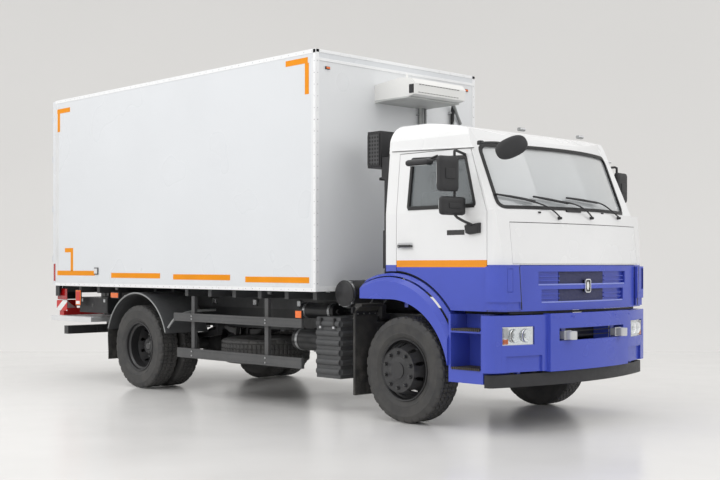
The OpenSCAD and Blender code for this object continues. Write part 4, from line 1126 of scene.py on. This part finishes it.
# ------------------------------------------------------------------ intake
mb = MB()
mb.box(-842, -478, 788, 796, 2520, 2850, "comb", 3)
mb.box(-856, -848, 618, 772, 2520, 2850, "comb", 3)
ring(mb, [(-838, 2524), (-482, 2524), (-482, 2846), (-838, 2846)], 20, 8, 10, lambda a, b, o: (a, 796 + o, b), 3, 12, "plastic", 60)
ring(mb, [(620, 2524), (770, 2524), (770, 2846), (620, 2846)], 16, 6, 8, lambda a, b, o: (-855 - o, a, b), 4, 10, "plastic", 60)
mb.cyl((-700, 588, 2640), (-700, 582, 2640), 26, "black", 24)
for k in range(7):
    z = 1420 + k * 20
    mb.lathe([(80, z - 7), (92, z), (80, z + 7)], (-770, 497, 0), "z", "rubber", 36)
for z in (2390, 2404):
    mb.lathe([(78, z - 6), (84, z), (78, z + 6)], (-660, 700, 0), "z", "rubber", 30)
mb.obj("intake_details", "cab")

# ------------------------------------------------------------------ box body
mb = MB()
for (y0, y1, z0, z1) in ((6010, 6340, 3545, 3605), (6270, 6332, 3300, 3545), (1262, 1612, 3590, 3650), (1245, 1307, 3270, 3590), (5930, 5992, 1434, 1738), (5990, 6140, 1682, 1738),
                         (5390, 6340, 1376, 1438), (3920, 5000, 1352, 1414), (2560, 3650, 1342, 1404), (1240, 2290, 1324, 1386)):
    mb.box(1249, 1251.6, y0, y1, z0, z1, "tape")
    n = max(1, int((y1 - y0) / 250))
# profiles along the edges
mb.box(1248, 1254, 1137, 1180, 1238, 3722, "whiteprofile", 2)
mb.box(1206, 1254, 1135, 1141, 1238, 3722, "whiteprofile", 2)
mb.box(1248, 1254, 1140, 6385, 3682, 3723, "whiteprofile", 2)
mb.box(1206, 1252, 1140, 6385, 3721, 3725, "whiteprofile", 1.5)
mb.box(1248, 1255, 1140, 6385, 1236, 1276, "whiteprofile", 2)
mb.box(1248, 1252, 1140, 6385, 1282, 1288, "alu", 1)
mb.box(1240, 1253, 6340, 6386, 1238, 3722, "alu", 2)
for y in range(1200, 6330, 120):
    mb.cyl((1254, y, 1256), (1257, y, 1256), 5, "steel", 7)
    mb.cyl((1253, y, 3704), (1256, y, 3704), 5, "steel", 7)
for z in range(1320, 3680, 120):
    mb.cyl((1253, 1158, z), (1256, 1158, z), 5, "steel", 7)
    mb.cyl((1228, 1136, z), (1228, 1133, z), 5, "steel", 7)
# small lamps on brackets under the edge and on the side
for y in (1900, 3400, 4900):
    mb.box(1196, 1236, y - 34, y + 34, 1196, 1240, "plastic", 4)
    mb.box(1234, 1241, y - 24, y + 24, 1204, 1228, "plasticgrey", 3)
mb.box(1250, 1262, 5300, 5396, 1390, 1480, "plasticgrey", 4)
mb.box(1260, 1268, 5312, 5384, 1402, 1468, "whitelamp", 3)
# upper front corner lamps
mb.box(1060, 1122, 1126, 1141, 3526, 3556, "plastic", 3)
mb.box(1066, 1116, 1120, 1128, 3531, 3551, "amber", 2)
# rear upper lamps
mb.box(1120, 1200, 6384, 6396, 3690, 3716, "plastic", 2)
mb.mirror()
mb.box(-1250, 1250, 1133, 1141, 3606, 3636, "whiteprofile", 2)
mb.box(-1250, 1250, 1134, 1141, 1240, 1290, "whiteprofile", 2)
mb.box(-1250, 1250, 1135, 1141, 3690, 3723, "whiteprofile", 2)
for k in range(7):
    x = -1050 + 350 * k
    mb.box(x - 6, x + 6, 1145, 6380, 1229, 1237, "alu", 1)
mb.obj("box_details", "chassis")

# rear doors: seals, bar handles, cams
for s, nm in ((1, "left"), (-1, "right")):
    mb = MB()
    mb.box(s * 4, s * 10, 6452, 6464, 1340, 3640, "rubber", 2)
    for x in (150, 850):
        for z in (1350, 3620):
            mb.box(s * (x - 30), s * (x + 24), 6466, 6494, z - 20, z + 20, "steel", 4)
        for z in (1600, 2100, 2900, 3400):
            mb.box(s * (x - 34), s * (x + 34), 6458, 6466, z - 22, z + 22, "steel", 2)
            mb.box(s * (x - 18), s * (x + 18), 6464, 6494, z - 12, z + 12, "steel", 3)
        d = 1 if x < 500 else -1
        mb.tube([(s * x, 6484, 1780), (s * (x + d * 60), 6488, 1780), (s * (x + d * 260), 6486, 1780)], 8, "steel", 12, 1)
        mb.box(s * (x + d * 205 - 25), s * (x + d * 205 + 25), 6460, 6492, 1768, 1792, "steel", 3)
    for z in (1560, 2230, 2900, 3430):
        for (x, y) in ((1020, 6482), (1090, 6476)):
            mb.cyl((s * x, 6462, z + 40), (s * x, y, z + 40), 8, "steel", 8)
    mb.box(s * 200, s * 700, 6459, 6461.5, 1480, 1560, "tape")
    mb.obj("cargo_door_details_" + nm, "cargo_door_" + nm)

# ------------------------------------------------------------------ cooling unit
mb = MB()
mb.box(-408, -398, 566, 630, 3300, 3392, "black", 3)
mb.box(-372, -340, 541, 560, 3300, 3380, "black", 3) if False else None
for k in range(14):
    x = -340 + k * 46
    mb.box(x, x + 32, 541, 552, 3388, 3394, "black", 1)
    mb.box(x, x + 32, 553, 564, 3308, 3313, "black", 1)
mb.box(-402, 402, 640, 1138, 3256, 3276, "unitunder", 4)
mb.cyl((-360, 700, 3470), (-360, 700, 3512), 14, "unit", 20, 10)
mb.box(270, 340, 1072, 1140, 3286, 3320, "black", 6)
mb.tube([(290, 1095, 3300), (288, 1104, 3050), (292, 1110, 2760), (292, 1112, 2600)], 7, "hose", 8, 1)
mb.tube([(320, 1095, 3300), (322, 1104, 3050), (318, 1110, 2760), (318, 1112, 2600)], 7, "hose", 8, 1)
mb.tube([(820, 1090, 3330), (820, 1105, 3250), (820, 1108, 3060), (820, 1110, 2700), (815, 1112, 2400)], 22, "rubber", 14, 1)
mb.box(780, 860, 1098, 1140, 3240, 3262, "steel", 3)
mb.box(780, 860, 1098, 1140, 2860, 2882, "steel", 3)
mb.tube([(400, 900, 3385), (560, 960, 3400), (760, 1040, 3350), (900, 1105, 3230), (980, 1120, 3140)], 17, "hose", 14, 3)
for z in (3180, 2960, 2760):
    mb.box(250, 400, 1112, 1141, z - 10, z + 10, "steel", 3)
mb.obj("unit_details", "chassis")

# ------------------------------------------------------------------ rear end
mb = MB()
for s in (-1, 1):
    mb.box(s * 1226, s * 1246, 6300, 6385, 1100, 1236, "frame", 3)
    mb.box(s * 1150, s * 1244, 6385, 6396, 1098, 1236, "frame", 3)
    mb.box(s * 900, s * 1190, 6395, 6430, 1050, 1200, "plastic", 6)
    for (x, m) in ((930, "amber"), (1015, "redlamp"), (1100, "redlamp"), (1160, "whitelamp")):
        mb.box(s * (x - 26), s * (x + 32), 6428, 6440, 1064, 1186, m, 4)
    mb.box(s * 1192, s * 1200, 6180, 6425, 1050, 1196, "redlamp", 3)
    mb.box(s * 1196, s * 1204, 6170, 6440, 900, 1040, "hazard", 2)
    mb.box(s * 900, s * 1196, 6432, 6438, 900, 1040, "hazard", 2)
    mb.box(s * 1204, s * 1212, 5812, 5932, 985, 1180, "amber", 3)
    mb.box(s * 1210, s * 1216, 5826, 5918, 1000, 1165, "hazardx", 2)
    mb.box(s * 1196, s * 1206, 5800, 5944, 975, 1190, "plastic", 3)
    mb.box(s * 1180, s * 1232, 4858, 5040, 1092, 1172, "plastic", 5)
    mb.box(s * 1230, s * 1240, 4868, 5030, 1102, 1162, "amber", 4)
    mb.box(s * 1251, s * 1253, 6386, 6436, 1300, 1530, "redlamp", 0.5)
    # platform edges and lift arms
    mb.box(s * 1196, s * 1206, 5560, 6588, 766, 834, "alu", 3)
    mb.box(s * 1130, s * 1180, 6400, 6404, 846, 922, "whiteprofile", 1)
    mb.tube([(s * 560, 5500, 700), (s * 560, 6000, 720), (s * 560, 6240, 860)], 34, "frame", 16, 1)
    mb.cyl((s * 420, 5400, 740), (s * 420, 6200, 800), 40, "frame", 20)
    mb.cyl((s * 420, 5900, 778), (s * 420, 6260, 804), 22, "steel", 20)
mb.box(-1176, 1176, 6582, 6590, 774, 790, "alu", 1)
for k in range(24):
    x = -1150 + 100 * k
    mb.box(x - 8, x + 8, 5570, 6560, 829, 833, "alu", 1)
mb.box(-1126, -1119, 5300, 5970, 900, 1080, "plastic", 4)
for y in (5360, 5900):
    mb.box(-1132, -1124, y - 20, y + 20, 1030, 1070, "steel", 2)
mb.cyl((-1124, 5640, 990), (-1130, 5640, 990), 24, "black", 20)
for x in (-700, 0, 700):
    mb.box(x - 40, x + 40, 6176, 6284, 604, 690, "frame", 3)
mb.box(-260, 260, 6438, 6444, 905, 1020, "platewhite", 2)
mb.obj("rear_end_details", "chassis")

# ------------------------------------------------------------------ cab interior
mb = MB()
mb.box(-1000, 1000, -1030, -840, 1944, 1956, "interior", 5)
for (x0, x1) in ((-900, -500), (-380, 80)):
    mb.box(x0, x1, -846, -832, 1720, 1900, "plastic", 8)
mb.box(430, 810, -800, -700, 1860, 1960, "plastic", 24)
for x in (520, 620, 720):
    mb.lathe([(34, -702), (38, -698), (34, -694)], (x, 0, 1905), "y", "steel", 28)
    mb.cyl((x, -702, 1905), (x, -698, 1905), 32, "black", 24)
for k in range(5):
    mb.box(-320 + k * 70, -270 + k * 70, -836, -826, 1820, 1850, "whiteprofile", 4)
mb.cyl((620, -900, 1560), (620, -712, 1860), 36, "plastic", 24)
mb.box(140, 200, -520, -440, 1480, 1760, "rubber", 14)
mb.lathe([(0, 1800), (20, 1796), (26, 1780), (20, 1762), (8, 1756)], (170, -480, 0), "z", "black", 24)
mb.box(-1000, 1000, 160, 172, 1500, 2560, "liner", 4)
for s in (-1, 1):
    mb.box(s * 180, s * 880, -790, -720, 2588, 2596, "liner", 3)
mb.box(-960, 960, -700, 150, 2700, 2708, "liner", 3)
mb.tube([(s * 0 + 405, -40, 2150) for s in (0,)] + [(405, -40, 1700)], 4, "rubber", 6) if False else None
mb.obj("interior_details", "cab")

# steering wheel: a padded ring with spokes at the plain one's place
mb = MB()
a = math.radians(35)
R3 = np.array([[1, 0, 0], [0, math.cos(a), -math.sin(a)], [0, math.sin(a), math.cos(a)]])
c = np.array([620.0, -690.0, 1900.0])
pts = [c + R3 @ np.array([215 * math.cos(t), 215 * math.sin(t), 0]) for t in np.linspace(0, 2 * math.pi, 65)]
mb.tube(pts, 15.5, "plastic", 14)
for t in (0.35, math.pi - 0.35, -1.1, math.pi + 1.1):
    mb.tube([c + R3 @ np.array([60 * math.cos(t), 60 * math.sin(t), -14]), c + R3 @ np.array([210 * math.cos(t), 210 * math.sin(t), 0])], [17, 11], "plastic", 12)
mb.cyl(c + R3 @ np.array([0, 0, -24.0]), c + R3 @ np.array([0, 0, 8.0]), 74, "plastic", 40, 62)
mb.obj("steering_wheel_detail", "cab")


def cushion(name, x0, x1, y0, y1, z0, z1, m="cloth", puff=16, lines=3, up="z"):
    """a padded block: swollen between its seams"""
    n = 13
    bm = bmesh.new()
    bmesh.ops.create_cube(bm, size=2.0)
    bmesh.ops.subdivide_edges(bm, edges=bm.edges[:], cuts=n - 2, use_grid_fill=True)
    h = np.array([(x1 - x0) / 2, (y1 - y0) / 2, (z1 - z0) / 2]); c = np.array([(x0 + x1) / 2, (y0 + y1) / 2, (z0 + z1) / 2])
    for v in bm.verts:
        p = np.array(v.co)
        q = p * h
        r = min(40.0, h.min() * 0.8)
        core = np.clip(q, -(h - r), h - r); d = q - core
        L = np.linalg.norm(d)
        if L > 1e-6:
            q = core + d / L * r
        f = (1 - p[0] ** 2) * (1 - p[1] ** 2) if up == "z" else (1 - p[0] ** 2) * (1 - p[2] ** 2)
        k = 2 if up == "z" else 1
        s = 1 if p[k] > 0 else -0.4
        groove = 0.72 + 0.28 * abs(math.sin(math.pi * (p[0] * 0.5 + 0.5) * lines))
        if abs(p[k]) > 0.8:
            q[k] += s * puff * f ** 0.5 * groove * (1 if p[k] > 0 else -1 * -1)
        q = q + c
        v.co = Vector((q[0] / 1000, q[1] / 1000 + OY, q[2] / 1000))
    me = bpy.data.meshes.new(name); bm.to_mesh(me); bm.free()
    me.materials.append(M[m])
    me.polygons.foreach_set("use_smooth", [True] * len(me.polygons))
    o = bpy.data.objects.new(name, me); scn.collection.objects.link(o)
    md = o.modifiers.new("soft", "SUBSURF"); md.levels = 1; md.render_levels = 1
    return o


parts = []
for i, (x, w) in enumerate(((640, 500), (0, 440), (-640, 500))):
    parts.append(cushion("seat_cushion_%d" % i, x - w / 2, x + w / 2, -500, -20, 1566, 1684, puff=14))
    parts.append(cushion("seat_back_%d" % i, x - w / 2 + 8, x + w / 2 - 8, -84, 26, 1694, 2226, puff=-12, up="y"))
    parts.append(cushion("seat_headrest_%d" % i, x - 126, x + 126, -56, 8, 2236, 2418, puff=-6, up="y", lines=1))
for k, o in enumerate(parts):
    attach(o, "cab")
    if k == 0:
        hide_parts("seats")
mb = MB()
for i, (x, w) in enumerate(((640, 500), (0, 440), (-640, 500))):
    mb.box(x - w / 2 + 60, x + w / 2 - 60, -420, -80, 1484 if x == 0 else 1294, 1560, "plastic", 16)
    for dx in (-60, 60):
        mb.cyl((x + dx, -24, 2210), (x + dx, -24, 2250), 7, "steel", 10)
    mb.tube([(x - w / 2 + 14, -492, 1690), (x + w / 2 - 14, -492, 1690)], 5, "rubber", 8)
mb.obj("seat_bases", "cab")

# ------------------------------------------------------------------ camera
cam = bpy.data.cameras.new("camera")
co = bpy.data.objects.new("camera", cam)
scn.collection.objects.link(co)
co.location = (-9.0643, -7.5542 + OY, 1.5066)
co.rotation_euler = (math.radians(90), 0, -0.7708)
cam.sensor_width = 36
cam.lens = 1144.5 * 36 / 720
cam.shift_y = (265.5 - 240) / 720
cam.clip_end = 200
scn.camera = co

# ------------------------------------------------------------------ studio
def studio():
    k = NT("studio_paper")
    c = k.mix(k.maprange(k.noise(0.25, 3), 0.3, 0.7, 0, 1), (0.735, 0.728, 0.718), (0.765, 0.758, 0.748))
    k.l(c, k.p.inputs["Base Color"])
    k.l(k.maprange(k.noise(0.8, 3), 0.3, 0.7, 0.20, 0.27), k.p.inputs["Roughness"])
    k.p.inputs["Specular IOR Level"].default_value = 0.42
    me = bpy.data.meshes.new("floor")
    me.from_pydata([(-80, -80, 0), (80, -80, 0), (80, 80, 0), (-80, 80, 0)], [], [(0, 1, 2, 3)])
    me.materials.append(k.m)
    f = bpy.data.objects.new("floor", me); scn.collection.objects.link(f)
    f.location = (0, 0, -0.002)
    w = NT("studio_backdrop")
    w.l(w.mix(w.maprange(w.noise(0.08, 2), 0.3, 0.7, 0, 1), (0.735, 0.728, 0.718), (0.765, 0.758, 0.748)), w.p.inputs["Base Color"])
    w.p.inputs["Roughness"].default_value = 0.9
    w.p.inputs["Specular IOR Level"].default_value = 0.1
    d = Vector((math.sin(0.7708), math.cos(0.7708), 0)); r = Vector((d.y, -d.x, 0))
    base = Vector(co.location) + d * 20; base.z = -0.004
    n = 40; V = []
    for s in (-60, 60):
        for i in range(n + 1):
            a = math.pi / 2 * i / n
            V.append(base + r * s + d * (22 * math.sin(a)) + Vector((0, 0, 22 * (1 - math.cos(a)))))
        V.append(base + r * s + d * 22 + Vector((0, 0, 40)))
    m2 = n + 2
    F = [(i, i + 1, m2 + i + 1, m2 + i) for i in range(m2 - 1)]
    me = bpy.data.meshes.new("backdrop"); me.from_pydata([tuple(p) for p in V], [], F); me.materials.append(w.m)
    me.polygons.foreach_set("use_smooth", [True] * len(me.polygons))
    b = bpy.data.objects.new("backdrop", me); scn.collection.objects.link(b)
    world = bpy.data.worlds.new("studio"); scn.world = world
    world.use_nodes = True
    bg = world.node_tree.nodes["Background"]
    bg.inputs[0].default_value = (1.0, 0.995, 0.985, 1); bg.inputs[1].default_value = 0.98

    def area(name, loc, aim, size, power, col=(1, 1, 1)):
        L = bpy.data.lights.new(name, "AREA"); L.shape = "RECTANGLE"; L.size, L.size_y = size; L.energy = power; L.color = col
        o = bpy.data.objects.new(name, L); scn.collection.objects.link(o); o.location = loc
        o.rotation_euler = (Vector(aim) - Vector(loc)).to_track_quat("-Z", "Y").to_euler()
    area("key_side", (-9, 1, 8), (0, 0, 1.5), (9, 5), 330, (1, 1, 1))
    area("front_soft", (1, -11, 7), (0, -2, 1.5), (8, 4), 110, (1, 0.99, 0.98))
    area("top_soft", (0, 0, 10), (0, 0, 0), (9, 12), 260)
    scn.view_settings.view_transform = "Standard"
    scn.view_settings.look = "None"


studio()
